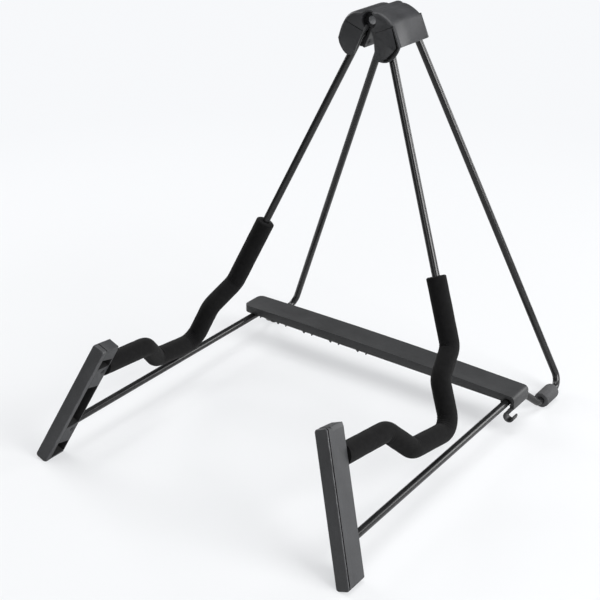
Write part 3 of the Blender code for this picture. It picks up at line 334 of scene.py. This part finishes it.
# %% Rod paint
rod_paint, tree, shader = start_material("rod_paint")
where = place(tree, "ShaderNodeTexCoord", (-900, 0))
peel = place(tree, "ShaderNodeTexNoise", (-700, -200), Vector=where.outputs["Object"], Scale=620.0, Detail=2.0)
speckle = place(tree, "ShaderNodeTexNoise", (-700, 150), Vector=where.outputs["Object"], Scale=95.0, Detail=5.0)
paint_tone = tone_ramp(tree, (-480, 200), speckle.outputs["Fac"],
                       (0.30, (0.0045, 0.0045, 0.0048)), (0.72, (0.0095, 0.0095, 0.0100)))
gloss = place(tree, "ShaderNodeMapRange", (-480, -40), Value=speckle.outputs["Fac"], To_Min=0.20, To_Max=0.32)
dress(tree, shader, paint_tone, gloss.outputs["Result"], peel.outputs["Fac"], 0.00002, 0.6)
print("rod paint ready")

# %% [markdown]
# ## Closed-cell foam
#
# The sleeves are black nitrile foam: very matt, with a skin of small cells and a few open pores.
# Cells come from a Voronoi texture, and a sheen catches the light at the outline as the real foam does.

# %% Foam material
foam_skin, tree, shader = start_material("foam_skin", specular=0.12)
shader.inputs["Sheen Weight"].default_value = 0.03
shader.inputs["Sheen Roughness"].default_value = 0.6
where = place(tree, "ShaderNodeTexCoord", (-1100, 0))
cells = place(tree, "ShaderNodeTexVoronoi", (-850, 200), Vector=where.outputs["Object"], Scale=1300.0)
lumps = place(tree, "ShaderNodeTexNoise", (-850, -80), Vector=where.outputs["Object"], Scale=210.0, Detail=5.0)
pores = place(tree, "ShaderNodeMapRange", (-620, 220), Value=cells.outputs["Distance"], From_Max=0.45)
foam_mix = calculate(tree, "MULTIPLY", (-430, 80), pores.outputs["Result"], lumps.outputs["Fac"])
foam_tone = tone_ramp(tree, (-250, 200), foam_mix,
                      (0.10, (0.0010, 0.0010, 0.0011)), (0.62, (0.0048, 0.0047, 0.0050)))
dress(tree, shader, foam_tone, 0.92, foam_mix, 0.00022, 0.9)
print("foam ready")

# %% [markdown]
# ## Rubber, oxide and zinc
#
# The rear feet are soft rubber, the screws are blackened steel, and the hinge pin is dulled zinc.
# Turned metal shows fine rings round its axis, so the metals' noise is squeezed along Y.

# %% Rubber and metal materials
RING_SQUEEZE = (60, 4200, 60)

foot_rubber, tree, shader = start_material("rear_foot_rubber", specular=0.35)
skin = use_group(tree, grain, (-700, 0), Dark=(0.060, 0.060, 0.062, 1), Light=(0.105, 0.105, 0.108, 1),
                 Pebble_Size=0.0007, Roughness=0.62)
# The grip's mesh carries no edge or recess values, so this edge colour, a shade darker than the rubber, is never
# shown.
edges = use_group(tree, edge_light_shade, (-450, 100), Colour=skin.outputs["Colour"], Amount=0.6,
                  Rubbed_Colour=(0.05, 0.05, 0.052, 1), Roughness=skin.outputs["Roughness"])
dress(tree, shader, edges.outputs["Colour"], edges.outputs["Roughness"], skin.outputs["Height"], 0.00005)


def turned_metal(name, dull, bright, roughness):
    """Bare turned metal with fine rings round its Y axis."""
    material, tree, shader = start_material(name, metallic=1.0)
    where = place(tree, "ShaderNodeTexCoord", (-1000, 0))
    squeeze = place(tree, "ShaderNodeMapping", (-820, 0), Vector=where.outputs["Object"], Scale=RING_SQUEEZE)
    rings = place(tree, "ShaderNodeTexNoise", (-640, -60), Vector=squeeze.outputs["Vector"], Scale=1.0, Detail=3.0)
    stain = place(tree, "ShaderNodeTexNoise", (-640, 200), Vector=where.outputs["Object"], Scale=420.0, Detail=4.0)
    tone = tone_ramp(tree, (-420, 220), stain.outputs["Fac"], (0.35, dull), (0.65, bright))
    polish = place(tree, "ShaderNodeMapRange", (-420, -20), Value=stain.outputs["Fac"],
                   To_Min=roughness - 0.08, To_Max=roughness + 0.12)
    dress(tree, shader, tone, polish.outputs["Result"], rings.outputs["Fac"], 0.00001)
    return material


pin_zinc = turned_metal("pin_zinc", (0.18, 0.183, 0.188), (0.34, 0.344, 0.35), 0.20)
screw_oxide = turned_metal("screw_oxide", (0.035, 0.035, 0.038), (0.075, 0.075, 0.08), 0.40)
print("rubber, zinc and oxide ready")

# %% [markdown]
# ## Routes with rounded corners
#
# A rod bender works on a straight rod, so each frame is a set of straight runs joined by arcs.
# The route is written as corners with a bend radius, and each corner is replaced by an arc in small steps.

# %% Route helper
def bend_route(corners, step=math.radians(4)):
    """Replace each (point, radius) corner of a flat route by an arc."""
    points = [Vector(corners[0][0])]
    for before, here, after in zip(corners, corners[1:], corners[2:]):
        corner = Vector(here[0])
        back = (Vector(before[0]) - corner).normalized()
        ahead = (Vector(after[0]) - corner).normalized()
        turn = math.pi - back.angle(ahead)
        middle = corner + (back + ahead).normalized() * here[1] / math.cos(turn / 2)
        start = corner + back * here[1] * math.tan(turn / 2) - middle
        sense = turn if back.x * ahead.y < back.y * ahead.x else -turn
        count = max(3, math.ceil(turn / step))
        for i in range(count + 1):
            angle = sense * i / count
            cos, sin = math.cos(angle), math.sin(angle)
            points.append(middle + Vector((start.x * cos - start.y * sin, start.x * sin + start.y * cos)))
    points.append(Vector(corners[-1][0]))
    return points


MM = 0.001
ARM_MM = [((32.0, -19.25), 9.0), ((305.8, -76.96), 14.0), ((324.6, -106.1), 14.0), ((367.6, -114.8), 16.0),
          ((358.7, -173.4), 14.0), ((331.0, -198.0), 14.0), ((322.0, -270.02), 0.0)]
BASE_MM = [((32.0, 22.77), 9.0), ((408.0, 78.12), 11.5), ((408.0, 31.0), 10.0), ((384.8, 6.5), 10.0),
           ((384.8, -291.08), 0.0)]
ARM = [((s * MM, y * MM), radius * MM) for (s, y), radius in ARM_MM]
BASE = [((s * MM, y * MM), radius * MM) for (s, y), radius in BASE_MM]
rod_route = bend_route(ARM[::-1] + BASE)
rod_length = sum((b - a).length for a, b in zip(rod_route, rod_route[1:]))
print("rod route:", len(rod_route), "points,", round(rod_length, 3), "m long")

# %% [markdown]
# ## The bent rods
#
# The real rod is 7 mm thick and one length from foot bar to foot bar.
# A ring of points at each step keeps the tube exactly on the frame's plane.

# %% Bent rods
ROD_RADIUS, ROD_SIDES = 0.0035, 28


def ring_frames(route):
    """Each point of a route with its direction and its sideways direction, halved at corners."""
    frames = []
    for i, point in enumerate(route):
        steps = [(b - a).normalized() for a, b in zip(route[max(i - 1, 0):i + 1], route[max(i, 1):i + 2])]
        along = sum(steps, Vector((0, 0))).normalized()
        frames.append((point, along, Vector((-along.y, along.x))))
    return frames


def bridge(bm, rings):
    """Skin a list of closed rings."""
    for near, far in zip(rings, rings[1:]):
        for i in range(len(near)):
            j = (i + 1) % len(near)
            bm.faces.new((near[i], near[j], far[j], far[i]))


for side in SIDES:
    bm = bmesh.new()
    rings = []
    for point, _, across in ring_frames(rod_route):
        ring = []
        for k in range(ROD_SIDES):
            angle = math.tau * k / ROD_SIDES
            flat = point + across * ROD_RADIUS * math.cos(angle)
            ring.append(bm.verts.new(in_frame(side, flat.x, flat.y, ROD_RADIUS * math.sin(angle))))
        rings.append(ring)
    bridge(bm, rings)
    bm.faces.new(rings[0])
    bm.faces.new(rings[-1])
    add_piece(f"{side}_rod", bm, rod_paint, f"{side}_frame", f"{side}_side_wire")

# %% [markdown]
# ## The foam sleeves
#
# A straight foam tube is pushed over the rod before it is bent, or worked round the bends with soap.
# So the foam creases a little on the inside of each bend and is stretched smooth on the outside.
# Each ring of the tube is moved by its bend: small pleats inside, nothing outside, and a slow waviness everywhere.

# %% Foam sleeves
FOAM_RADIUS, FOAM_BORE, FOAM_SIDES = 0.0091, 0.0037, 48
FOAM_SLACK = 0.0001
FOAM_TOP = {"right": 0.2437, "left": 0.2345}
LEG_START_Y, LEG_SLOPE = -0.0125, -0.2108
RING_STEP, BEND_REACH, TIGHTEST_BEND = 0.0008, 4, 60
PLEAT_DEPTH, PLEAT_PITCH = 0.00032, 0.0036
WAVE_HEIGHT, WAVES_PER_METRE, WAVES_ROUND = 0.00012, 130, 1.5
END_ROUND, END_MARGIN = 0.0012, 0.35
BAR_FACE = Vector((0.3045, -0.2514))
BAR_NORMAL = Vector((0.300706, 0.953717))


def evenly(route, step):
    """Points every step along a route."""
    points, carry = [route[0]], 0.0
    for a, b in zip(route, route[1:]):
        length = (b - a).length
        while carry + step <= length:
            carry += step
            points.append(a + (b - a) * carry / length)
        carry -= length
    return points


def foam_radius(i, angle, bend):
    """The sleeve's radius at ring i: rounded at its top end, pleated inside a bend, wavy all over."""
    from_end = min(i * RING_STEP, END_ROUND)
    rounding = END_ROUND - math.sqrt(max(END_ROUND ** 2 - (END_ROUND - from_end) ** 2, 0))
    inside = max(0.0, math.cos(angle) * math.copysign(1, bend)) * min(abs(bend) / TIGHTEST_BEND, 1)
    pleat = inside ** 1.5 * PLEAT_DEPTH * (math.sin(i * RING_STEP / PLEAT_PITCH * math.tau) - 0.4)
    spot = (i * RING_STEP * WAVES_PER_METRE, math.cos(angle) * WAVES_ROUND, math.sin(angle) * WAVES_ROUND)
    return FOAM_RADIUS - FOAM_SLACK - rounding + pleat + WAVE_HEIGHT * noise.noise(Vector(spot))


def foam_sleeve(side):
    """A foam tube along the front leg and the arm, cut off flat at the foot bar."""
    top = (FOAM_TOP[side], LEG_START_Y + LEG_SLOPE * FOAM_TOP[side])
    route = evenly(bend_route([(top, 0)] + ARM[1:], math.radians(2)), RING_STEP)
    route = [p for p in route if (p - BAR_FACE).dot(BAR_NORMAL) > FOAM_RADIUS * END_MARGIN]
    frames = ring_frames(route)
    last = len(frames) - 1
    bm = bmesh.new()
    outer, inner = [], []
    for i, (point, along, across) in enumerate(frames):
        ahead, behind = frames[min(i + BEND_REACH, last)][1], frames[max(i - BEND_REACH, 0)][1]
        bend = behind.cross(ahead) / (2 * BEND_REACH * RING_STEP) if 0 < i < last else 0.0
        ring_out, ring_in = [], []
        for k in range(FOAM_SIDES):
            angle = math.tau * k / FOAM_SIDES
            for reach, ring in ((foam_radius(i, angle, bend), ring_out), (FOAM_BORE, ring_in)):
                flat = point + across * reach * math.cos(angle)
                if i == last:
                    flat += along * (BAR_FACE - flat).dot(BAR_NORMAL) / along.dot(BAR_NORMAL)
                ring.append(bm.verts.new(in_frame(side, flat.x, flat.y, reach * math.sin(angle))))
        outer.append(ring_out)
        inner.append(ring_in)
    bridge(bm, [inner[0]] + outer + [inner[-1]])
    bridge(bm, inner)
    return bm


for side in SIDES:
    sleeve = add_piece(f"{side}_foam", foam_sleeve(side), foam_skin, f"{side}_frame",
                       f"{side}_foam_sleeve", crease=60)

# %% [markdown]
# ## The rear feet
#
# A short rubber sleeve is pushed on each floor run before the bend. Ribs round it grip the floor.
# The profile is turned round the rod: a rib is a soft bump, and the lowest side is worn flat by the floor.

# %% Rear feet
GRIP_START, GRIP_LENGTH, GRIP_RADIUS = 0.0365, 0.024, 0.0076
GRIP_BORE, GRIP_END, GRIP_SHOULDER = 0.0037, 0.0066, 0.0072
GRIP_SIDES = 64
GRIP_CHAMFER, RIB_MARGIN = 0.0002, 0.0004
RIBS, STEPS_PER_RIB, RIB_DEPTH = 16, 8, 0.0007
TAPER, TAPER_LENGTH = 0.0006, 0.0009


def rear_foot(side):
    """A ribbed rubber sleeve on the floor run, flat where it meets the floor."""
    end = GRIP_START + GRIP_LENGTH
    stations = [(GRIP_START, GRIP_BORE), (GRIP_START, GRIP_END), (GRIP_START + GRIP_CHAMFER, GRIP_SHOULDER)]
    steps = RIBS * STEPS_PER_RIB
    for i in range(steps + 1):
        share = i / steps
        rib = abs(math.cos(math.pi * RIBS * share)) ** 0.6
        from_end = min(share, 1 - share) * GRIP_LENGTH
        ease = TAPER * max(0.0, 1 - from_end / TAPER_LENGTH) ** 2
        y = GRIP_START + RIB_MARGIN + (GRIP_LENGTH - 2 * RIB_MARGIN) * share
        stations.append((y, GRIP_RADIUS - RIB_DEPTH * (1 - rib) - ease))
    stations += [(end - GRIP_CHAMFER, GRIP_SHOULDER), (end, GRIP_END), (end, GRIP_BORE)]
    bm = bmesh.new()
    rings = []
    for y, r in stations:
        ring = []
        for k in range(GRIP_SIDES):
            angle = math.tau * k / GRIP_SIDES
            spot = in_frame(side, FLOOR_RUN_S + r * math.cos(angle), y, r * math.sin(angle))
            spot.z = max(spot.z, 0.0)
            ring.append(bm.verts.new(spot))
        rings.append(ring)
    bridge(bm, rings)
    bridge(bm, [rings[-1], rings[0]])
    return bm


for side in SIDES:
    add_piece(f"{side}_foot_grip", rear_foot(side), foot_rubber, f"{side}_frame",
              f"{side}_rear_foot", crease=50)

# %% [markdown]
# ## Rounding the edges of a solid
#
# No moulding has a perfectly sharp edge, and a rounded edge is what catches a thin line of light.
# The CAD solid has the right shape with sharp edges, so its mesh is copied, merged back into flat panels and bevelled.
# The faces that the bevel makes get the value that the group reads for its painted edge highlight.
# Rays from each face tell how closed in it is: a face that looks at a near wall of its own solid lies in a recess and
# gets painted shade.

# %% Rounded copies
TILTS = [Vector((x, y, z)) for x in (-1, 1) for y in (-1, 1) for z in (-1, 1)]
RAY_START, RAY_REACH = 0.00015, 0.009


def flat_copy(node):
    """Copy a CAD solid's mesh with its flat panels whole again."""
    bm = bmesh.new()
    bm.from_mesh(solids[node].data)
    bmesh.ops.remove_doubles(bm, verts=bm.verts, dist=1e-6)
    bmesh.ops.dissolve_limit(bm, angle_limit=math.radians(0.5), verts=bm.verts, edges=bm.edges)
    bm.faces.layers.float.new(EDGE_LAYER)
    bm.faces.layers.float.new(PAINTED_SHADE_LAYER)
    return bm


def shade_recesses(bm):
    """Mark for painted shade the faces that look at another wall of the same solid close by."""
    bm.normal_update()
    tree = BVHTree.FromBMesh(bm)
    layer = bm.faces.layers.float[PAINTED_SHADE_LAYER]
    for face in bm.faces:
        start = face.calc_center_median() + face.normal * RAY_START
        rays = [(face.normal + tilt * 0.7).normalized() for tilt in TILTS]
        hits = sum(tree.ray_cast(start, ray, RAY_REACH)[0] is not None for ray in rays)
        face[layer] = min(1.0, max(0.0, (hits - 1) / 4))
    return bm


def sharp_edges(bm, limit=32):
    """The edges where two faces meet at more than a number of degrees."""
    return [edge for edge in bm.edges if edge.is_manifold and edge.calc_face_angle() > math.radians(limit)]


def round_edges(bm, edges, width, segments):
    """Bevel some edges and mark the new faces for the group's painted edge highlight."""
    made = bmesh.ops.bevel(bm, geom=edges, offset=width, segments=segments, profile=0.5,
                           affect="EDGES", clamp_overlap=True, harden_normals=False)
    layer = bm.faces.layers.float[EDGE_LAYER]
    for face in made["faces"]:
        face[layer] = 1.0


def rounded_copy(node, width, segments=2):
    """Copy a CAD solid's mesh and bevel its sharp edges."""
    bm = flat_copy(node)
    round_edges(bm, sharp_edges(bm), width, segments)
    return bm


print("rounding helpers ready")

# %% [markdown]
# ## The hinge shells
#
# A shell's front wall runs into its crown in a soft dome, too soft for the narrow bevel of the other edges.
# The mesh is cut in thin slices behind the front, and the slices' outline is drawn in along a quarter circle.
# The dome fades out at the crown's lower ends.

# %% Hinge shells
DOME = 0.0034
DOME_CUTS = (0.0003, 0.0007, 0.0012, 0.0018, 0.0025, DOME)
SHELL_ROUND, ON_CROWN = 0.0004, 0.0005


def curve(start, pull, end, count):
    """Points of a quadratic curve, start and end included."""
    a, b, c = Vector(start), Vector(pull), Vector(end)
    shares = [i / count for i in range(count + 1)]
    return [a * (1 - u) ** 2 + b * 2 * u * (1 - u) + c * u * u for u in shares]


CROWN = {
    "right": curve((0.00999, 0.00037), (0.0123, 0.0084), (0.0260, 0.0160), 40),
    "left": curve((0.01343, 0.00189), (0.0160, 0.0163), (0.0308, 0.0177), 40)
    + curve((0.0308, 0.0177), (0.0385, 0.0189), (0.0468, 0.0164), 20)[1:],
}


def from_room(point):
    """The (s, off) of a place in the room, in its nearer frame's plane."""
    across, up = abs(point.x), point.z - HINGE_LINE.z
    return across * math.sin(LEAN) - up * math.cos(LEAN), across * math.cos(LEAN) + up * math.sin(LEAN)


def domed_shell(side):
    """A hinge shell whose front wall is domed along its crown, then rounded all over, with painted shade in its
    recesses.
    """
    bm = flat_copy(f"{side}_hinge_shell")
    front = min(vert.co.y for vert in bm.verts)
    for depth in DOME_CUTS:
        everything = bm.verts[:] + bm.edges[:] + bm.faces[:]
        bmesh.ops.bisect_plane(bm, geom=everything, plane_co=(0, front + depth, 0), plane_no=(0, 1, 0))
    crown = CROWN[side]
    moved = 0
    for vert in bm.verts:
        depth = vert.co.y - front
        here = Vector(from_room(vert.co))
        nearest = min(range(len(crown)), key=lambda i: (crown[i] - here).length)
        if depth > DOME or (crown[nearest] - here).length > ON_CROWN:
            continue
        ahead = crown[min(nearest + 1, len(crown) - 1)] - crown[max(nearest - 1, 0)]
        inward = Vector((ahead.y, -ahead.x)).normalized()
        share = nearest / (len(crown) - 1)
        ease = min(1.0, share * 6) * min(1.0, (1 - share) * 5 + 0.25)
        inset = DOME - math.sqrt(DOME ** 2 - (DOME - depth) ** 2)
        here += inward * inset * ease
        vert.co = in_frame(side, here.x, vert.co.y - HINGE_LINE.y, here.y)
        moved += 1
    print(side, "shell:", moved, "crown points moved")
    round_edges(bm, sharp_edges(bm, 38), SHELL_ROUND, 2)
    return shade_recesses(bm)


print("crown points:", {side: len(points) for side, points in CROWN.items()})

# %% [markdown]
# ## The foot bars
#
# A foot bar leans back in its frame's plane, so it has coordinates of its own: t down it and v back from its front.
# The visible bar ends a little higher than the solid, and a thin wall of it laps the outer side of the front strip.
# Its pockets get painted shade: every face well within the bar's outline is marked as a recess, and so are faces that
# look at a near wall.

# %% Foot bars
BAR_TOP, BAR_RAKE, BAR_HALF = (0.298, -0.272), math.radians(17.5), 0.0063
BAR_FLOOR_S, TOP_RISE, TOP_LIFT = 0.41451, 0.1502, 0.0028
STRIP_DEPTH = 0.0045
SEAM_FRONT, SEAM_BACK = 0.0009, 0.0020
BAR_ROUND, SKIN, TOP_BAND = 0.0004, 0.0009, 0.0006
LAP_BACK, LAP_THICK, LAP_PROUD = 0.0066, 0.0016, 0.00002
LAP_TOP_GAP, LAP_LOW_GAP = 0.0012, 0.0016
BOX_SIDES = ((0, 1, 3, 2), (4, 6, 7, 5), (0, 4, 5, 1), (2, 3, 7, 6), (0, 2, 6, 4), (1, 5, 7, 3))


def on_bar(side, t, v, off):
    """A place on a foot bar: t down it, v back from its front face."""
    s = BAR_TOP[0] + t * math.cos(BAR_RAKE) + v * math.sin(BAR_RAKE)
    return in_frame(side, s, BAR_TOP[1] - t * math.sin(BAR_RAKE) + v * math.cos(BAR_RAKE), off)


def bar_axes(side):
    """A foot bar's own origin and its directions along t, v and off."""
    origin = on_bar(side, 0, 0, 0)
    return origin, *[(on_bar(side, *step) - origin).normalized() for step in ((1, 0, 0), (0, 1, 0), (0, 0, 1))]


def bar_span(v):
    """Where the bar's ends lie, in t, at depth v."""
    low = (BAR_FLOOR_S - BAR_TOP[0] - v * math.sin(BAR_RAKE)) / math.cos(BAR_RAKE)
    return -TOP_RISE * v - TOP_LIFT, low


def add_lap(bm, side):
    """Add the wall that laps the strip's outer side, as a closed box whose front face gets painted shade."""
    corners = []
    for v in (SEAM_BACK, LAP_BACK):
        top, low = bar_span(v)
        for off in (BAR_HALF - LAP_THICK, BAR_HALF + LAP_PROUD):
            corners += [bm.verts.new(on_bar(side, top + LAP_TOP_GAP, v, off)),
                        bm.verts.new(on_bar(side, low - LAP_LOW_GAP, v, off))]
    lap = [bm.faces.new([corners[i] for i in loop]) for loop in BOX_SIDES]
    # The lap's front face, which faces the groove, is marked for painted shade.
    lap[0][bm.faces.layers.float[PAINTED_SHADE_LAYER]] = 1.0
    bmesh.ops.recalc_face_normals(bm, faces=lap)


def foot_bar(side):
    """The CAD bar with a longer top end, painted shade in its pockets and the wall that laps its strip."""
    bm = flat_copy(f"{side}_foot_bar")
    origin, along, through, outward = bar_axes(side)
    lifted = 0
    for vert in bm.verts:
        here = vert.co - origin
        if here.dot(along) < bar_span(here.dot(through))[0] + TOP_LIFT + TOP_BAND:
            vert.co -= along * TOP_LIFT
            lifted += 1
    print(side, "bar:", lifted, "points at its top end")
    round_edges(bm, sharp_edges(bm), BAR_ROUND, 3)
    # Painted shade: faces that look at a near wall, and every face well inside the bar's outline, are marked as
    # recesses.
    shade_recesses(bm)
    layer = bm.faces.layers.float[PAINTED_SHADE_LAYER]
    back = max((vert.co - origin).dot(through) for vert in bm.verts)
    for face in bm.faces:
        middle = face.calc_center_median() - origin
        t, v, off = middle.dot(along), middle.dot(through), middle.dot(outward)
        top, low = bar_span(v)
        inside = STRIP_DEPTH < v < back - SKIN and abs(off) < BAR_HALF - SKIN
        if inside and top + SKIN < t < low - SKIN:
            face[layer] = 1.0
    add_lap(bm, side)
    return bm


print("foot bar reaches from", [round(t, 4) for t in bar_span(0)], "m along its front")

# %% [markdown]
# ## The foot strips
#
# The strip on each bar's front has rounded corners, and a narrow groove where the bar laps its outer side. Its rounded
# front edge gets the painted edge highlight, and the groove gets painted shade.
# It is a stack of outlines from front to back: five round the front edge over, two sink into the groove.

# %% Foot strips
STRIP_EDGE, STRIP_CORNER = 0.0007, 0.0023
STRIP_TURNS = (0.0, 0.4, 0.8, 1.2, math.pi / 2)
GROOVE_DEPTH, STEP_IN, STEP_LENGTH = 0.0018, 0.0002, 0.00005
STRIP_OVERHANG, SLIVER = 0.0003, 0.0001


def rounded_outline(low, high, left, right, radius, steps=6):
    """Corner points of a rectangle with round corners."""
    points = []
    for x, y, turn in ((high - radius, right - radius, 0), (low + radius, right - radius, 1),
                       (low + radius, left + radius, 2), (high - radius, left + radius, 3)):
        for i in range(steps + 1):
            angle = math.pi / 2 * (turn + i / steps)
            points.append((x + radius * math.cos(angle), y + radius * math.sin(angle)))
    return points


def foot_strip(side):
    """The strip on a foot bar's front, with round corners and a groove where the bar laps it; its front edge is marked
    for painted highlight and its groove for painted shade.
    """
    bm = bmesh.new()
    edge_layer, shade_layer = [bm.faces.layers.float.new(name) for name in (EDGE_LAYER, PAINTED_SHADE_LAYER)]
    stations = [(STRIP_EDGE * (1 - math.cos(a)), STRIP_EDGE * (1 - math.sin(a)), 0.0) for a in STRIP_TURNS]
    stations += [(SEAM_FRONT - STEP_LENGTH, 0, 0), (SEAM_FRONT, 0, GROOVE_DEPTH), (SEAM_BACK, 0, GROOVE_DEPTH),
                 (SEAM_BACK + STEP_LENGTH, 0, STEP_IN), (STRIP_DEPTH, 0, STEP_IN)]
    rings = []
    for v, inset, groove in stations:
        top, low = bar_span(v)
        outline = rounded_outline(top + inset, low - inset, inset - BAR_HALF - STRIP_OVERHANG,
                                  BAR_HALF - inset, STRIP_CORNER)
        ring = []
        for t, off in outline:
            if groove:
                off = min(off, BAR_HALF - groove)
            spot = on_bar(side, t, v, off)
            spot.z = max(spot.z, 0.0)
            ring.append(bm.verts.new(spot))
        rings.append(ring)
    bridge(bm, rings)
    bm.faces.new(rings[0])
    bm.faces.new(rings[-1])
    origin, _, through, outward = bar_axes(side)
    # Faces that round the front edge are marked for a painted edge highlight, and faces in the groove for painted
    # shade.
    for face in bm.faces:
        middle = face.calc_center_median() - origin
        v, off = middle.dot(through), middle.dot(outward)
        in_groove = SEAM_FRONT - SLIVER < v < SEAM_BACK + SLIVER and off > BAR_HALF - GROOVE_DEPTH - STEP_IN * 2
        face[edge_layer] = 1.0 if SLIVER / 5 < v < STRIP_EDGE else 0.0
        face[shade_layer] = 1.0 if in_groove else 0.0
    return bm


print("strip is", STRIP_DEPTH * 1000, "mm thick")

# %% [markdown]
# ## The moulded pieces, screws and pin
#
# All shapes are ready, so a loop makes each frame's mouldings and screws.
# The crossbar, the pin and its nut come once.

# %% Mouldings and metal pieces
SCREWS = ("foot_screw_upper", "foot_screw_lower", "hinge_screw_front", "hinge_screw_rear")

for side in SIDES:
    body = f"{side}_frame"
    add_piece(f"{side}_bar", foot_bar(side), foot_plastic, body, f"{side}_foot_bar")
    add_piece(f"{side}_strip", foot_strip(side), strip_plastic, body, f"{side}_foot_strip")
    add_piece(f"{side}_shell", domed_shell(side), hinge_plastic, body, f"{side}_hinge_shell")
    add_piece(f"{side}_cover", rounded_copy(f"{side}_hinge_cover", 0.0003), hinge_plastic, body,
              f"{side}_hinge_cover")
    for screw in SCREWS:
        add_piece(f"{side}_{screw}_head", rounded_copy(f"{side}_{screw}", 0.00018), screw_oxide, body,
                  f"{side}_{screw}")
add_piece("crossbar_body", rounded_copy("crossbar", 0.0006, 3), bar_plastic, "crossbar",
          "crossbar")
add_piece("pin", rounded_copy("hinge_pin", 0.0003, 3), pin_zinc, "right_frame", "hinge_pin")
add_piece("pin_nut", rounded_copy("hinge_pin_nut", 0.0002), pin_zinc, "right_frame", "hinge_pin_nut")

# %% [markdown]
# ## The floor
#
# The stand is photographed on a white sweep. The lamps stay at a plain level, so black stays black.
# The floor gets its white from what the camera sees, and still keeps the shadow.
# Far from the stand that glow takes over, so that the floor runs into the background without an edge.

# %% Floor
NEAR_STAND, FAR_OUT = 0.30, 1.10

bpy.ops.mesh.primitive_plane_add(size=16)
floor = bpy.context.object
floor.name = "floor"
white_floor, tree, shader = start_material("white_floor")
shader.inputs["Base Color"].default_value = (0.62, 0.625, 0.63, 1)
shader.inputs["Roughness"].default_value = 0.7
seen = place(tree, "ShaderNodeLightPath", (-900, 600))
spot = place(tree, "ShaderNodeNewGeometry", (-1100, 300))
away = place(tree, "ShaderNodeVectorMath", (-900, 300))
away.operation = "LENGTH"
tree.links.new(spot.outputs["Position"], away.inputs[0])


def by_distance(near, far, height):
    """A value that goes from near, under the stand, to far, out on the floor."""
    fade = place(tree, "ShaderNodeMapRange", (-600, height), Value=away.outputs["Value"],
                 From_Min=NEAR_STAND, From_Max=FAR_OUT, To_Min=near, To_Max=far)
    fade.interpolation_type = "SMOOTHSTEP"
    return fade.outputs["Result"]


glow = place(tree, "ShaderNodeEmission", (-200, 300), Color=(0.958, 0.970, 0.99, 1),
             Strength=by_distance(1.13, 0.972, 300))
share = calculate(tree, "MULTIPLY", (-200, 500), seen.outputs["Is Camera Ray"], by_distance(0.48, 1.0, 600))
mixed = place(tree, "ShaderNodeMixShader", (100, 400), Fac=share)
tree.links.new(shader.outputs["BSDF"], mixed.inputs[1])
tree.links.new(glow.outputs["Emission"], mixed.inputs[2])
tree.links.new(mixed.outputs["Shader"], tree.nodes["Material Output"].inputs["Surface"])
floor.data.materials.append(white_floor)
print("floor is", round(floor.dimensions.x, 1), "m wide")

# %% [markdown]
# ## The sky
#
# The room lights the stand only a little. What the camera sees of it is a plain pale background.

# %% Sky
world = bpy.data.worlds.new("white_room")
bpy.context.scene.world = world
world.use_nodes = True
sky = world.node_tree
lit = sky.nodes["Background"]
lit.inputs["Color"].default_value = (0.95, 0.97, 1.0, 1)
lit.inputs["Strength"].default_value = 0.16
pale = place(sky, "ShaderNodeBackground", (0, -200), Color=(0.955, 0.965, 0.98, 1))
path = place(sky, "ShaderNodeLightPath", (0, 400))
choose = place(sky, "ShaderNodeMixShader", (200, 100), Fac=path.outputs["Is Camera Ray"])
sky.links.new(lit.outputs["Background"], choose.inputs[1])
sky.links.new(pale.outputs["Background"], choose.inputs[2])
sky.links.new(choose.outputs["Shader"], sky.nodes["World Output"].inputs["Surface"])
bpy.context.scene.view_settings.view_transform = "Standard"
print("sky strength:", round(lit.inputs["Strength"].default_value, 2))

# %% [markdown]
# ## The lamps
#
# Five softboxes light the stand. The one on the right gives the bright sides of the hinge and the foot bar,
# the rear one draws their upper edges, and the rest fill in.

# %% Lamps
def softbox(name, place_at, aim, size, watts):
    """A square area lamp turned towards a point."""
    lamp = bpy.data.lights.new(name, "AREA")
    lamp.size = size
    lamp.energy = watts
    made = bpy.data.objects.new(name, lamp)
    bpy.context.scene.collection.objects.link(made)
    made.location = place_at
    made.rotation_euler = (Vector(aim) - Vector(place_at)).to_track_quat("-Z", "Y").to_euler()


softbox("right_side", (2.25, 0.05, 1.30), (0, 0, 0.15), size=1.5, watts=72)
softbox("rear_right", (1.45, 2.30, 0.95), (0, 0, 0.20), size=1.2, watts=27)
softbox("left_side", (-2.10, 0.50, 1.20), (0, 0, 0.15), size=1.2, watts=26)
softbox("overhead", (0.05, 0.35, 2.40), (0, 0, 0.10), size=1.3, watts=26)
softbox("front_fill", (0.50, -2.40, 1.30), (0, 0, 0.10), size=1.2, watts=9)
